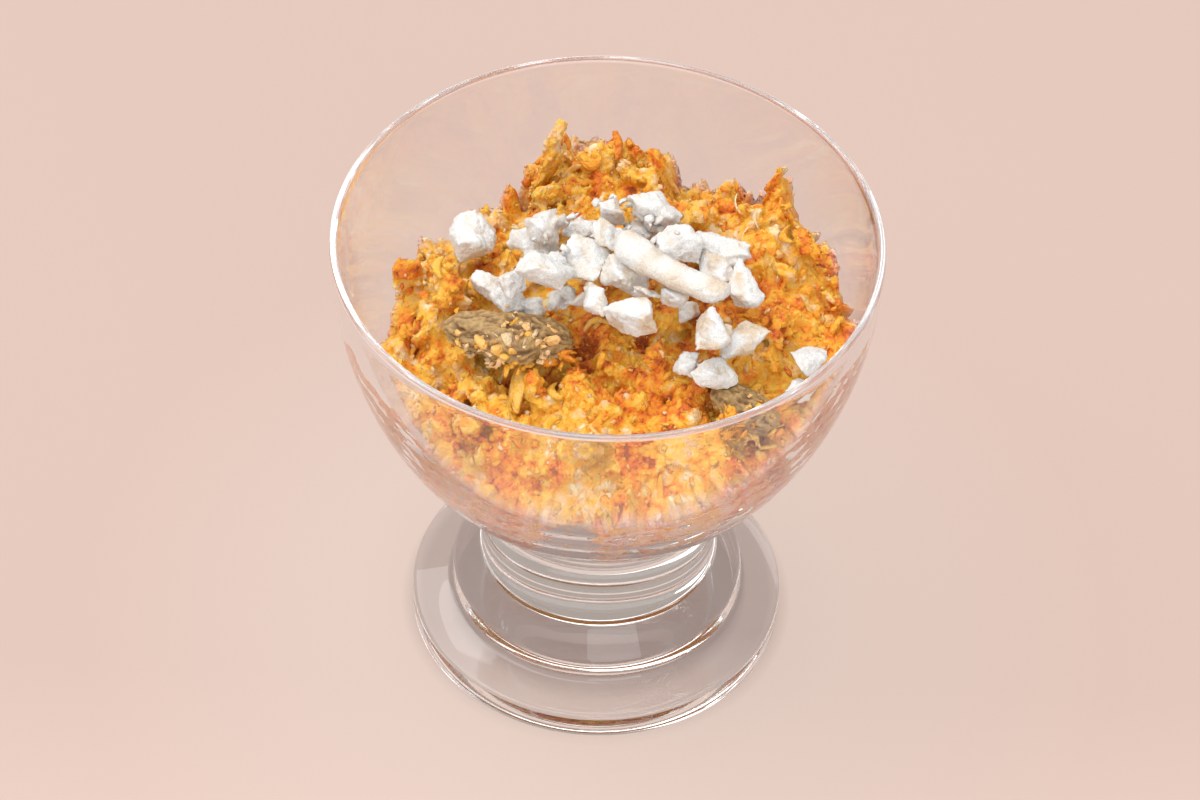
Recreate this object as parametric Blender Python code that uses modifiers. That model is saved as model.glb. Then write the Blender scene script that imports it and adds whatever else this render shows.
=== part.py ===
"""Gajar halwa, a heap of cooked grated carrot, in a footed glass bowl, with chopped cashews and raisins.

Metres, +Z up. The origin is the centre of the foot's underside, and -Y is the front.
The sizes below are in millimetres where a name ends in _MM, and MM turns them into metres.
"""

import itertools
import math
import random

import bmesh
import bpy
from mathutils import Euler, Matrix, Vector, noise
from mathutils.bvhtree import BVHTree

MM = 0.001

# The glass, in millimetres: a bowl whose walls are half ellipses, on a thick stem and a stepped foot.
HEIGHT_MM = 91.0
RIM_RADIUS_MM = 47.0
LIP_RADIUS_MM = 1.0
OUTER_DEPTH_MM = 62.2
INNER_RADIUS_MM = RIM_RADIUS_MM - 2 * LIP_RADIUS_MM
INNER_DEPTH_MM = 55.3
LIP_CENTRE_MM = HEIGHT_MM - LIP_RADIUS_MM
STEM_RADIUS_MM = 21.1
WAIST_FILLET_MM = 11.0
STEM_FLARE_Z_MM = 17.6
STEM_FLARE_MM = 2.2
COLLAR_RADIUS_MM = 26.3
COLLAR_ROUND_MM = 2.6
COLLAR_ROUND_Z_MM = 10.0
COLLAR_FILLET_MM = 1.5
COLLAR_FILLET_Z_MM = 8.2
FOOT_RADIUS_MM = 33.7
FOOT_ROUND_MM = 1.0
FOOT_ROUND_Z_MM = 4.1
FOOT_CORNER_MM = 0.7
REST_INNER_RADIUS_MM = 26.5
RECESS_STEP_MM = 1.0
RECESS_HEIGHT_MM = 2.2
GLASS_STEPS = 48

# The halwa, in millimetres: how high it stands at the wall, how it tips, and how far it domes up.
WALL_LEVEL_MM = 68.5
TILT_X = 0.154
TILT_Y = 0.122
DOME_MM = 11.0
DOME_POWER = 3.0
# Its bare core lies inset below that shape, with wide lumps and small crags.
CORE_INSET_MM = 0.9
LUMP_MM = 1.3
LUMP_PITCH_MM = 9.0
LUMP_SLICE_MM = 3.7
CRAG_MM = 2.2
CRAG_PITCH_MM = 3.1
WALL_GAP_MM = 0.5
TOPPING_GAP_MM = 0.35

# Lumps of halwa fused on the core: how many, and the range of their length in millimetres.
TOP_CLODS = 62
CLOD_MM = (5.0, 7.5)
TOP_SHREDS = 26
SHRED_MM = (6.0, 9.0)
SHRED_WIDTH_MM = (1.6, 2.2)
SHRED_HEIGHT_MM = (1.2, 1.6)
SHRED_BEND_MM = (0.8, 2.2)
SHRED_SINK_MM = 0.2
WALL_CLODS = 42
WALL_CLOD_MM = (6.0, 8.5)
WALL_CLOD_DEPTH_MM = 1.8
WALL_LOW_MM = 43.0
EDGE_MARGIN_MM = 1.5
MOST_LEAN = 0.5
GOLDEN_ANGLE = math.pi * (3 - math.sqrt(5))
SEED = 27

# Where lumps stand in a stack: place in plan, and the height of the stack's top.
STACKS = (
    ((-11.7, 33.6), 84.0),
    ((-3.4, 34.0), 80.6),
    ((9.4, 33.0), 81.6),
    ((30.0, 27.0), 78.0),
)
STACK_STEP_MM = 3.2

# A piece on top may shift by this much from its place, in steps, to lie well. A step forward or up
# shows by SEEN of its length from the front and above, and a rise costs something besides.
SHIFT_MM = (2.4, 4.0)
SHIFT_STEP_MM = 0.8
SEEN = 0.7
RISE_COST = 0.35
LIFT_STEP_MM = 0.1

# The raisins: name, place over the heap (plan place, and height above it), length, width and height,
# yaw and tilt, and the depth of the dimple that it lies in.
RAISINS = (
    ("raisin_left", (-16.3, -10.2, 2.0), (22.5, 9.6, 8.0), (-8, 3), 3.0),
    ("raisin_right", (23.8, -23.8, 0.0), (13.6, 7.6, 6.6), (-38, 8), 3.2),
)
# The pile of cashews presses the halwa down too: place, length, width, yaw and depth.
PILE = ((1.0, 1.0), (44.0, 30.0), -12, 2.2)
DIMPLE_FALLOFF = 2.2


# The chopped cashews, lowest first: place over the heap, then length, width and height in
# millimetres, and yaw and tilt in degrees.
CASHEWS = (
    ((-12.4, -4.9, 2.0), (4.2, 3.8, 3.4), (10, 0)),
    ((-7.7, -4.8, 2.0), (4.4, 3.8, 3.4), (40, 10)),
    ((-20.3, 1.7, 2.0), (7.0, 4.8, 4.2), (-30, 5)),
    ((13.6, -8.1, 2.0), (5.4, 4.6, 4.0), (30, 10)),
    ((13.8, -18.7, 2.0), (5.6, 4.0, 3.6), (85, 10)),
    ((-16.8, -4.0, 2.5), (6.2, 5.6, 5.0), (80, 15)),
    ((-4.1, 10.6, 2.5), (6.6, 4.8, 4.2), (20, 10)),
    ((18.8, -19.7, 2.5), (7.6, 4.6, 4.0), (5, 10)),
    ((35.2, -14.4, 2.5), (8.4, 5.0, 4.2), (62, 20)),
    ((34.0, -20.2, 2.0), (6.8, 4.4, 4.0), (58, 10)),
    ((-23.7, 13.1, 3.0), (9.2, 8.4, 7.6), (60, 20)),
    ((-16.2, 1.6, 3.0), (7.6, 4.2, 4.2), (100, 20)),
    ((5.1, 8.3, 3.0), (5.2, 4.2, 4.0), (0, 15)),
    ((7.6, 12.8, 3.0), (8.6, 6.8, 5.4), (-30, 12)),
    ((19.1, 4.0, 3.0), (9.6, 6.6, 5.4), (-20, 8)),
    ((17.8, -1.7, 3.0), (6.4, 4.2, 3.6), (-45, 10)),
    ((23.5, -3.2, 3.0), (6.2, 8.2, 4.8), (8, 35)),
    ((-5.3, -4.0, 3.0), (5.0, 4.6, 4.4), (0, 0)),
    ((23.6, -13.8, 3.0), (10.2, 5.8, 4.8), (35, 6)),
    ((-2.0, -5.7, 3.5), (9.0, 3.8, 3.6), (100, 5)),
    ((4.3, -10.4, 3.5), (8.6, 7.0, 5.8), (10, 5)),
    ((16.8, -14.4, 4.0), (9.6, 8.4, 6.4), (40, 12)),
    ((-12.3, 7.8, 4.0), (7.8, 6.6, 5.4), (-20, 10)),
    ((-3.9, 1.6, 4.0), (7.4, 7.0, 5.6), (10, 12)),
    ((2.3, -3.8, 4.0), (8.0, 6.6, 5.2), (15, 8)),
    ((6.6, -6.0, 4.0), (5.8, 3.8, 3.4), (35, 10)),
    ((9.4, -7.0, 4.0), (5.2, 3.6, 3.2), (20, 10)),
    ((11.4, 3.6, 4.0), (7.6, 6.8, 5.2), (-10, 8)),
    ((0.7, 11.5, 4.0), (4.2, 3.8, 7.8), (0, 12)),
    ((-10.3, -1.3, 5.0), (9.6, 8.4, 5.8), (68, 8)),
    ((1.4, 5.4, 5.0), (8.2, 6.6, 5.2), (8, 10)),
    ((-9.5, 8.3, 6.0), (7.2, 6.2, 5.2), (30, 25)),
)
CASHEW_HALF = ((10.5, -6.0, 7.0), (22.0, 6.6, 4.2), (-32, 6))
HALF_CUT = 0.25
HALF_TAPER = 0.28
HALF_BEND_MM = 1.6
SMALL_CHIP_MM = 6.0
CHIP_CUTS = (3, 5)
CHIP_CUT_DEPTH = (0.5, 0.78)
CHIP_SEED = 400

GLASS_COLOUR = (0.95, 0.96, 0.96)
HALWA_COLOUR = (0.86, 0.31, 0.04)
CASHEW_COLOUR = (0.86, 0.80, 0.72)
RAISIN_COLOUR = (0.28, 0.20, 0.07)


def clear_scene():
    for old in list(bpy.data.objects):
        bpy.data.objects.remove(old)


def new_collection(name):
    made = bpy.data.collections.new(name)
    bpy.context.scene.collection.children.link(made)
    return made


def new_material(name, colour, roughness, transmission=0.0):
    made = bpy.data.materials.new(name)
    made.use_nodes = True
    shader = made.node_tree.nodes["Principled BSDF"]
    shader.inputs["Base Color"].default_value = (*colour, 1.0)
    shader.inputs["Roughness"].default_value = roughness
    shader.inputs["Metallic"].default_value = 0.0
    shader.inputs["Transmission Weight"].default_value = transmission
    return made


def new_object(name, mesh, collection, material):
    made = bpy.data.objects.new(name, mesh)
    mesh.materials.append(material)
    collection.objects.link(made)
    return made


def mesh_from(bm, name):
    mesh = bpy.data.meshes.new(name)
    bm.to_mesh(mesh)
    bm.free()
    return mesh


def arc(centre, radius, start_deg, end_deg, steps):
    """Points (r, z) along an arc, both ends included."""
    turns = [math.radians(start_deg + (end_deg - start_deg) * k / steps) for k in range(steps + 1)]
    return [(centre[0] + radius * math.cos(a), centre[1] + radius * math.sin(a)) for a in turns]


def wall_point(radius, depth, turn):
    """A point (r, z) of a bowl wall, at 0 on the axis below and at a quarter turn at the lip."""
    return radius * math.sin(turn), LIP_CENTRE_MM - depth * math.cos(turn)


def waist_turn():
    """Where on the outer wall the fillet into the stem starts, found by halving."""
    low, high = 0.0, math.pi / 2
    for _ in range(40):
        turn = (low + high) / 2
        r, _z = wall_point(RIM_RADIUS_MM, OUTER_DEPTH_MM, turn)
        slope = outward(turn)
        if r + WAIST_FILLET_MM * slope[0] > STEM_RADIUS_MM + WAIST_FILLET_MM:
            high = turn
        else:
            low = turn
    return low


def outward(turn):
    """The outer wall's unit normal (r, z)."""
    normal = Vector((math.sin(turn) / RIM_RADIUS_MM, -math.cos(turn) / OUTER_DEPTH_MM))
    return normal.normalized()


def bowl_profile(wall_steps, arc_steps):
    """The upper half: inner wall from the axis up, over the lip, and down the outer wall to the stem."""
    quarter = math.pi / 2
    inner = [
        wall_point(INNER_RADIUS_MM, INNER_DEPTH_MM, quarter * k / wall_steps) for k in range(wall_steps)
    ]
    lip = arc((RIM_RADIUS_MM - LIP_RADIUS_MM, LIP_CENTRE_MM), LIP_RADIUS_MM, 180, 0, arc_steps + 1)
    start = waist_turn()
    outer = [
        wall_point(RIM_RADIUS_MM, OUTER_DEPTH_MM, quarter + (start - quarter) * k / (wall_steps - 3))
        for k in range(1, wall_steps - 2)
    ]
    normal = outward(start)
    centre = (outer[-1][0] + WAIST_FILLET_MM * normal[0], outer[-1][1] + WAIST_FILLET_MM * normal[1])
    first = math.degrees(math.atan2(-normal[1], -normal[0]))
    waist = arc(centre, WAIST_FILLET_MM, first, 180, arc_steps)[1:]
    return inner + lip + outer + waist


def foot_profile(arc_steps):
    """The lower half: the stem's flare, the raised collar, the foot, and the recess below."""
    flare = arc((STEM_RADIUS_MM + STEM_FLARE_MM, STEM_FLARE_Z_MM), STEM_FLARE_MM, 180, 235, arc_steps - 1)
    collar_centre = COLLAR_RADIUS_MM - COLLAR_ROUND_MM
    collar = arc((collar_centre, COLLAR_ROUND_Z_MM), COLLAR_ROUND_MM, 48, 0, arc_steps)
    fillet_centre = COLLAR_RADIUS_MM + COLLAR_FILLET_MM
    fillet = arc((fillet_centre, COLLAR_FILLET_Z_MM), COLLAR_FILLET_MM, 180, 262, arc_steps - 1)
    foot_centre = FOOT_RADIUS_MM - FOOT_ROUND_MM
    foot = arc((foot_centre, FOOT_ROUND_Z_MM), FOOT_ROUND_MM, 82, 0, arc_steps - 1)
    corner_centre = FOOT_RADIUS_MM - FOOT_CORNER_MM
    corner = arc((corner_centre, FOOT_CORNER_MM), FOOT_CORNER_MM, 0, -90, arc_steps - 2)
    recess = [
        (REST_INNER_RADIUS_MM, 0.0),
        (REST_INNER_RADIUS_MM - RECESS_STEP_MM, RECESS_STEP_MM),
        (REST_INNER_RADIUS_MM / 2, RECESS_HEIGHT_MM - RECESS_STEP_MM / 4),
        (0.0, RECESS_HEIGHT_MM),
    ]
    return flare + collar + fillet + foot + corner + recess


def make_glass(collection, material):
    """The glass as one turned profile."""
    bm = bmesh.new()
    profile = bowl_profile(9, 3) + foot_profile(3)
    verts = [bm.verts.new((r * MM, 0.0, z * MM)) for r, z in profile]
    for low, high in zip(verts, verts[1:]):
        bm.edges.new((low, high))
    glass = new_object("glass", mesh_from(bm, "glass"), collection, material)
    screw = glass.modifiers.new("turn", "SCREW")
    screw.axis = "Z"
    screw.angle = math.tau
    screw.steps = GLASS_STEPS
    screw.render_steps = GLASS_STEPS
    screw.use_merge_vertices = True
    screw.merge_threshold = 0.00005
    screw.use_smooth_shade = True
    return glass


def cavity_radius(z):
    """The inner wall's radius at height z, in millimetres."""
    share = min(1.0, max(0.0, (LIP_CENTRE_MM - z) / INNER_DEPTH_MM))
    return INNER_RADIUS_MM * math.sqrt(1 - share * share)


def wall_contact(turn):
    """Where the halwa's top meets the wall in direction turn: (radius, height)."""
    radius = cavity_radius(WALL_LEVEL_MM)
    for _ in range(5):
        level = WALL_LEVEL_MM + radius * (TILT_X * math.cos(turn) + TILT_Y * math.sin(turn))
        radius = cavity_radius(level)
    return radius, level


def heap_height(x, y):
    """The halwa's smooth top over a plan point, in millimetres, before its lumps and dimples."""
    radius, _level = wall_contact(math.atan2(y, x))
    share = min(1.0, math.hypot(x, y) / radius)
    return WALL_LEVEL_MM + TILT_X * x + TILT_Y * y + DOME_MM * (1 - share**DOME_POWER)


def dimple_depth(x, y):
    """How far the core is pressed down below the raisins and the pile of cashews."""
    dimples = [(place, size, turns[0], dip) for _name, place, size, turns, dip in RAISINS] + [PILE]
    depth = 0.0
    for place, size, yaw_deg, dip in dimples:
        offset = Matrix.Rotation(-math.radians(yaw_deg), 2) @ Vector((x - place[0], y - place[1]))
        reach = (offset.x / size[0]) ** 2 + (offset.y / size[1]) ** 2
        depth += dip * math.exp(-DIMPLE_FALLOFF * reach)
    return depth


def core_height(x, y):
    """The bare core's top over a plan point, with its large lumps, in millimetres."""
    lump = noise.noise(Vector((x, y, LUMP_SLICE_MM)) / LUMP_PITCH_MM) * 2 * LUMP_MM
    return heap_height(x, y) + lump - CORE_INSET_MM - dimple_depth(x, y)


def crag_depth(point_mm):
    """How far the core falls back between its crumbs at a point of its surface, in millimetres."""
    return CRAG_MM * (0.5 + noise.noise(point_mm / CRAG_PITCH_MM))


def keep_in_cavity(bm, gap_mm):
    """Draws in what would reach the glass, towards the middle of the rim, so that gap_mm stays free."""
    centre = Vector((0.0, 0.0, LIP_CENTRE_MM)) * MM
    radius, depth = (INNER_RADIUS_MM - gap_mm) * MM, (INNER_DEPTH_MM - gap_mm) * MM
    for vert in bm.verts:
        away = vert.co - centre
        reach = math.sqrt((away.x**2 + away.y**2) / radius**2 + (away.z / depth) ** 2)
        if reach > 1 and away.z < 0:
            vert.co = centre + away / reach


def core_point(direction):
    """The bare core's surface in a direction from its middle, and the way out of it, in millimetres.

    Points spread evenly over a ball land evenly on the heap's top and on the wall below it.
    """
    turn = math.atan2(direction.y, direction.x)
    around = Vector((math.cos(turn), math.sin(turn), 0.0))
    contact_radius, level = wall_contact(turn)
    share = math.sqrt(max(0.0, 1 - abs(direction.z)))
    if direction.z >= 0:
        spot = around * contact_radius * share
        return Vector((spot.x, spot.y, core_height(spot.x, spot.y))), Vector((0.0, 0.0, 1.0))
    contact = math.acos((LIP_CENTRE_MM - level) / INNER_DEPTH_MM)
    radius, z = wall_point(INNER_RADIUS_MM, INNER_DEPTH_MM, contact * share)
    spot = around * radius + Vector((0.0, 0.0, z))
    return spot, (around * radius / 2 + Vector((0.0, 0.0, z - level))).normalized()


def make_core(collection, material):
    """The halwa's bare core: a ball whose lower half fits the bowl and whose upper half is the heap."""
    bm = bmesh.new()
    bmesh.ops.create_icosphere(bm, subdivisions=3, radius=1)
    top = [e for e in bm.edges if (e.verts[0].co + e.verts[1].co).z > -0.1]
    bmesh.ops.subdivide_edges(bm, edges=top, cuts=1, use_grid_fill=True)
    bmesh.ops.triangulate(bm, faces=bm.faces[:])
    for vert in bm.verts:
        spot, way_out = core_point(vert.co.normalized())
        vert.co = (spot - way_out * crag_depth(spot)) * MM
    keep_in_cavity(bm, WALL_GAP_MM)
    return new_object("halwa", mesh_from(bm, "halwa"), collection, material)


def random_direction(rng):
    z = rng.uniform(-1, 1)
    turn = rng.uniform(0, math.tau)
    return Vector((math.sqrt(1 - z * z) * math.cos(turn), math.sqrt(1 - z * z) * math.sin(turn), z))


def scale_to(bm, size_mm):
    """Stretches the mesh so that its box has this size, and puts the mean of its points on the origin."""
    low = [min(v.co[k] for v in bm.verts) for k in range(3)]
    high = [max(v.co[k] for v in bm.verts) for k in range(3)]
    stretch = Vector([size_mm[k] * MM / (high[k] - low[k]) for k in range(3)])
    bmesh.ops.scale(bm, verts=bm.verts, vec=stretch)
    mean = sum((v.co for v in bm.verts), Vector()) / len(bm.verts)
    bmesh.ops.translate(bm, verts=bm.verts, vec=-mean)


def chopped_nut(size_mm, rng, cuts):
    """A rounded blank with flat faces where the knife went through."""
    blank = bmesh.new()
    bmesh.ops.create_icosphere(blank, subdivisions=2, radius=1)
    for _ in range(cuts):
        normal = random_direction(rng)
        bmesh.ops.bisect_plane(
            blank,
            geom=blank.verts[:] + blank.edges[:] + blank.faces[:],
            plane_co=normal * rng.uniform(*CHIP_CUT_DEPTH),
            plane_no=normal,
            clear_outer=True,
        )
    bm = bmesh.new()
    for vert in blank.verts:
        bm.verts.new(vert.co)
    blank.free()
    hull = bmesh.ops.convex_hull(bm, input=bm.verts[:])
    spare = {item for item in hull["geom_interior"] + hull["geom_unused"] if item.is_valid}
    bmesh.ops.delete(bm, geom=[v for v in spare if isinstance(v, bmesh.types.BMVert)], context="VERTS")
    bmesh.ops.dissolve_limit(bm, angle_limit=math.radians(24), verts=bm.verts[:], edges=bm.edges[:])
    scale_to(bm, size_mm)
    return bm


def split_half(size_mm):
    """Half of a whole nut, curved like a comma, its flat inner side up."""
    bm = bmesh.new()
    bmesh.ops.create_uvsphere(bm, u_segments=12, v_segments=8, radius=1)
    bmesh.ops.rotate(bm, verts=bm.verts, matrix=Matrix.Rotation(math.pi / 2, 3, "Y"))
    cut = bmesh.ops.bisect_plane(
        bm,
        geom=bm.verts[:] + bm.edges[:] + bm.faces[:],
        plane_co=(0, 0, HALF_CUT),
        plane_no=(0, 0, 1),
        clear_outer=True,
    )
    edges = [e for e in cut["geom_cut"] if isinstance(e, bmesh.types.BMEdge)]
    bmesh.ops.contextual_create(bm, geom=edges)
    scale_to(bm, size_mm)
    for vert in bm.verts:
        along = vert.co.x / (size_mm[0] * MM / 2)
        vert.co.y *= 1 - HALF_TAPER * along
        vert.co.y += HALF_BEND_MM * MM * along * along
    return bm


def raisin_shape(size_mm, seed):
    """A plump raisin with wrinkles that run along it."""
    bm = bmesh.new()
    bmesh.ops.create_uvsphere(bm, u_segments=16, v_segments=10, radius=0.5)
    bmesh.ops.rotate(bm, verts=bm.verts, matrix=Matrix.Rotation(math.pi / 2, 3, "Y"))
    for vert in bm.verts:
        turn = math.atan2(vert.co.z, vert.co.y)
        ripple = 0.06 * math.sin(6 * turn + seed + 2.5 * vert.co.x)
        ripple += 0.05 * noise.noise(Vector((vert.co.x * 3, math.cos(turn), math.sin(turn))) * 1.5)
        vert.co.y *= 1 + ripple
        vert.co.z *= 1 + ripple
        vert.co.z -= 0.10 * vert.co.x**2
    scale_to(bm, size_mm)
    return bm


def turned(bm, yaw_deg, tilt_deg):
    """Turns a piece about its middle: tilt about its long axis, then yaw about +Z."""
    turn = Euler((math.radians(tilt_deg), math.radians(tilt_deg) / 2, math.radians(yaw_deg))).to_matrix()
    bmesh.ops.rotate(bm, verts=bm.verts, cent=(0, 0, 0), matrix=turn)


class Placed:
    """The pieces already in the bowl, which the next one rests on or stays clear of."""

    def __init__(self):
        self.points = []
        self.faces = []
        self.tree = None

    def add(self, mesh):
        first = len(self.points)
        self.points += [v.co.copy() for v in mesh.vertices]
        self.faces += [[first + index for index in p.vertices] for p in mesh.polygons]
        self.tree = BVHTree.FromPolygons(self.points, self.faces)

    def touches(self, points, faces):
        return bool(self.tree.overlap(BVHTree.FromPolygons(points, faces)))

    def near(self, points, faces, gap):
        """True if the piece crosses a placed one, comes within gap of it, or has a point inside it."""
        if self.touches(points, faces):
            return True
        for point in points:
            spot, normal, _index, distance = self.tree.find_nearest(point)
            if distance < gap or (point - spot).dot(normal) < 0:
                return True
        return False

    def fall(self, points):
        """How far the points can move straight down before the first of them lands."""
        down = Vector((0.0, 0.0, -1.0))
        hits = [self.tree.ray_cast(point, down)[3] for point in points]
        return min((distance for distance in hits if distance is not None), default=0.0)


def inside_wall(points):
    """True if every point is clear of the glass."""
    return all(math.hypot(p.x, p.y) < (cavity_radius(p.z / MM) - TOPPING_GAP_MM) * MM for p in points)


def settle(bm, place, placed):
    """Drops a piece near its place, where it looks nearest to that place from the front and above."""
    faces = [tuple(v.index for v in face.verts) for face in bm.faces]
    x, y, lift = place
    aim = Vector((x, y, heap_height(x, y) + lift)) * MM
    above = Vector((0.0, 0.0, HEIGHT_MM / 2)) * MM
    reach = max(v.co.length for v in bm.verts)
    grow = 1 + 2 * TOPPING_GAP_MM * MM / reach
    grown = [v.co * grow + aim for v in bm.verts]
    best, best_cost = None, math.inf
    across, along = (round(limit / SHIFT_STEP_MM) for limit in SHIFT_MM)
    for i, j in itertools.product(range(-across, across + 1), range(-along, along + 1)):
        shift = Vector((i, j, 0)) * SHIFT_STEP_MM * MM
        shift.z = above.z - placed.fall([point + shift + above for point in grown])
        cost = math.hypot(shift.x, SEEN * (shift.y + shift.z)) + RISE_COST * abs(shift.z)
        if cost < best_cost and inside_wall([v.co + aim + shift for v in bm.verts]):
            best, best_cost = shift, cost
    while placed.touches([point + best for point in grown], faces):
        best.z += LIFT_STEP_MM * MM
    bmesh.ops.translate(bm, verts=bm.verts, vec=aim + best)


def prepare(bm):
    bmesh.ops.recalc_face_normals(bm, faces=bm.faces[:])
    bmesh.ops.triangulate(bm, faces=bm.faces[:])
    bm.verts.index_update()


def make_toppings(core, collection, cashew, raisin):
    """The raisins and the cashews, each set down on the core and onto those below it."""
    resting_on = Placed()
    resting_on.add(core.data)
    toppings = Placed()
    for number, (name, place, size, turns, _dip) in enumerate(RAISINS):
        bm = raisin_shape(size, number)
        turned(bm, *turns)
        prepare(bm)
        settle(bm, place, resting_on)
        mesh = mesh_from(bm, name)
        resting_on.add(mesh)
        toppings.add(mesh)
        new_object(name, mesh, collection, raisin)
    rows = [(row, False) for row in CASHEWS] + [(CASHEW_HALF, True)]
    for number, ((place, size, turns), whole) in enumerate(rows, start=1):
        rng = random.Random(CHIP_SEED + number)
        cuts = CHIP_CUTS[max(size) > SMALL_CHIP_MM]
        bm = split_half(size) if whole else chopped_nut(size, rng, cuts)
        turned(bm, *turns)
        prepare(bm)
        settle(bm, place, resting_on)
        name = "cashew_half" if whole else f"cashew_{number:02d}"
        mesh = mesh_from(bm, name)
        resting_on.add(mesh)
        toppings.add(mesh)
        new_object(name, mesh, collection, cashew)
    return toppings


def crumb_shape(length_mm, rng):
    """A crumb of grated carrot: a small uneven lump of twenty faces."""
    bm = bmesh.new()
    bmesh.ops.create_icosphere(bm, subdivisions=1, radius=0.5)
    for vert in bm.verts:
        vert.co *= rng.uniform(0.78, 1.22)
    stretch = Vector((1.0, rng.uniform(0.66, 0.95), rng.uniform(0.60, 0.90)))
    bmesh.ops.scale(bm, verts=bm.verts, vec=stretch * length_mm * MM)
    return bm


def shred_shape(length_mm, rng):
    """A shred of grated carrot: a bent strip."""
    bm = bmesh.new()
    bmesh.ops.create_cube(bm, size=1)
    lengthways = [e for e in bm.edges if e.verts[0].co.x != e.verts[1].co.x]
    bmesh.ops.subdivide_edges(bm, edges=lengthways, cuts=2)
    width, height = rng.uniform(*SHRED_WIDTH_MM), rng.uniform(*SHRED_HEIGHT_MM)
    bmesh.ops.scale(bm, verts=bm.verts, vec=Vector((length_mm, width, height)) * MM)
    bend = rng.uniform(*SHRED_BEND_MM)
    for vert in bm.verts:
        along = 2 * vert.co.x / (length_mm * MM)
        vert.co.y = vert.co.y * (1 - along * along / 3) + bend * MM * along * along
    return bm


def turn_any_way(bm, rng):
    turn = Euler([rng.uniform(0, math.tau) for _ in range(3)]).to_matrix()
    bmesh.ops.rotate(bm, verts=bm.verts, cent=(0, 0, 0), matrix=turn)


def heap_normal(x, y):
    step = 1.0
    slope_x = (heap_height(x + step, y) - heap_height(x - step, y)) / (2 * step)
    slope_y = (heap_height(x, y + step) - heap_height(x, y - step)) / (2 * step)
    return Vector((-slope_x, -slope_y, 1)).normalized()


def place_on_heap(bm, x, y, sink_mm, rng):
    """Sets a piece on the core's top, turned about and leaning a little, and sunk by sink_mm."""
    lean, spin = rng.uniform(-MOST_LEAN, MOST_LEAN), rng.uniform(0, math.tau)
    turn = heap_normal(x, y).to_track_quat("Z", "X").to_matrix() @ Euler((0, lean, spin)).to_matrix()
    bmesh.ops.rotate(bm, verts=bm.verts, cent=(0, 0, 0), matrix=turn)
    seat = Vector((x, y, core_height(x, y) - sink_mm)) * MM
    bmesh.ops.translate(bm, verts=bm.verts, vec=seat)


def spiral_places(count, rng):
    """Plan points spread evenly over the heap's top, each a little off its place, in millimetres."""
    for k in range(count):
        turn = k * GOLDEN_ANGLE + rng.uniform(-0.15, 0.15)
        radius, _level = wall_contact(turn)
        reach = (radius - EDGE_MARGIN_MM) * math.sqrt((k + 0.5) / count)
        yield reach * math.cos(turn), reach * math.sin(turn)


def stacked_pieces(rng):
    """The lumps that stand on each other at the heap's back edge."""
    for (x, y), top in STACKS:
        base = core_height(x, y)
        levels = max(2, round((top - base) / STACK_STEP_MM))
        for level in range(levels):
            share = level / (levels - 1)
            length = CLOD_MM[1] + (CLOD_MM[0] - CLOD_MM[1]) * share
            bm = crumb_shape(length, rng)
            turn_any_way(bm, rng)
            z = base + (top - 0.4 * length - base) * share
            bmesh.ops.translate(bm, verts=bm.verts, vec=Vector((x + rng.uniform(-1, 1), y, z)) * MM)
            yield bm


def top_pieces(rng):
    """The clods and shreds of the heap's top."""
    for x, y in spiral_places(TOP_CLODS, rng):
        length = rng.uniform(*CLOD_MM)
        bm = crumb_shape(length, rng)
        place_on_heap(bm, x, y, rng.uniform(-0.15, 0.25) * length, rng)
        yield bm
    for x, y in spiral_places(TOP_SHREDS, rng):
        length = rng.uniform(*SHRED_MM)
        bm = shred_shape(length, rng)
        place_on_heap(bm, x, y, SHRED_SINK_MM, rng)
        yield bm


def wall_pieces(rng):
    """The clods pressed against the inside of the glass."""
    for k in range(WALL_CLODS):
        turn = k * GOLDEN_ANGLE
        _radius, level = wall_contact(turn)
        z = WALL_LOW_MM + (level - WALL_LOW_MM) * math.sqrt(k / WALL_CLODS)
        bm = crumb_shape(rng.uniform(*WALL_CLOD_MM), rng)
        turn_any_way(bm, rng)
        reach = cavity_radius(z) - WALL_CLOD_DEPTH_MM
        spot = Vector((reach * math.cos(turn), reach * math.sin(turn), z))
        bmesh.ops.translate(bm, verts=bm.verts, vec=spot * MM)
        yield bm


def largest_piece(bm):
    """Leaves only the largest connected surface, so that sealed hollows fill and loose scraps drop."""
    left, groups = set(bm.verts), []
    while left:
        group, edge = set(), [left.pop()]
        while edge:
            vert = edge.pop()
            group.add(vert)
            for link in vert.link_edges:
                other = link.other_vert(vert)
                if other in left:
                    left.discard(other)
                    edge.append(other)
        groups.append(group)
    keep = max(groups, key=len)
    bmesh.ops.delete(bm, geom=[v for v in bm.verts if v not in keep], context="VERTS")


def fuse_pieces(core, pieces, toppings, material):
    """Joins the pieces that stay clear of the toppings to the core, in one union."""
    group = new_collection("crumbs")
    for number, bm in enumerate(pieces):
        keep_in_cavity(bm, WALL_GAP_MM)
        prepare(bm)
        faces = [tuple(v.index for v in face.verts) for face in bm.faces]
        if toppings.near([v.co.copy() for v in bm.verts], faces, TOPPING_GAP_MM * MM):
            bm.free()
            continue
        new_object(f"crumb_{number:03d}", mesh_from(bm, "crumb"), group, material)
    union = core.modifiers.new("fuse", "BOOLEAN")
    union.operation = "UNION"
    union.operand_type = "COLLECTION"
    union.collection = group
    bpy.context.view_layer.update()
    graph = bpy.context.evaluated_depsgraph_get()
    fused = bpy.data.meshes.new_from_object(core.evaluated_get(graph))
    core.modifiers.remove(union)
    for crumb in list(group.objects):
        bpy.data.objects.remove(crumb)
    bpy.data.collections.remove(group)
    bm = bmesh.new()
    bm.from_mesh(fused)
    largest_piece(bm)
    bm.to_mesh(fused)
    bm.free()
    core.data = fused


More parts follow.
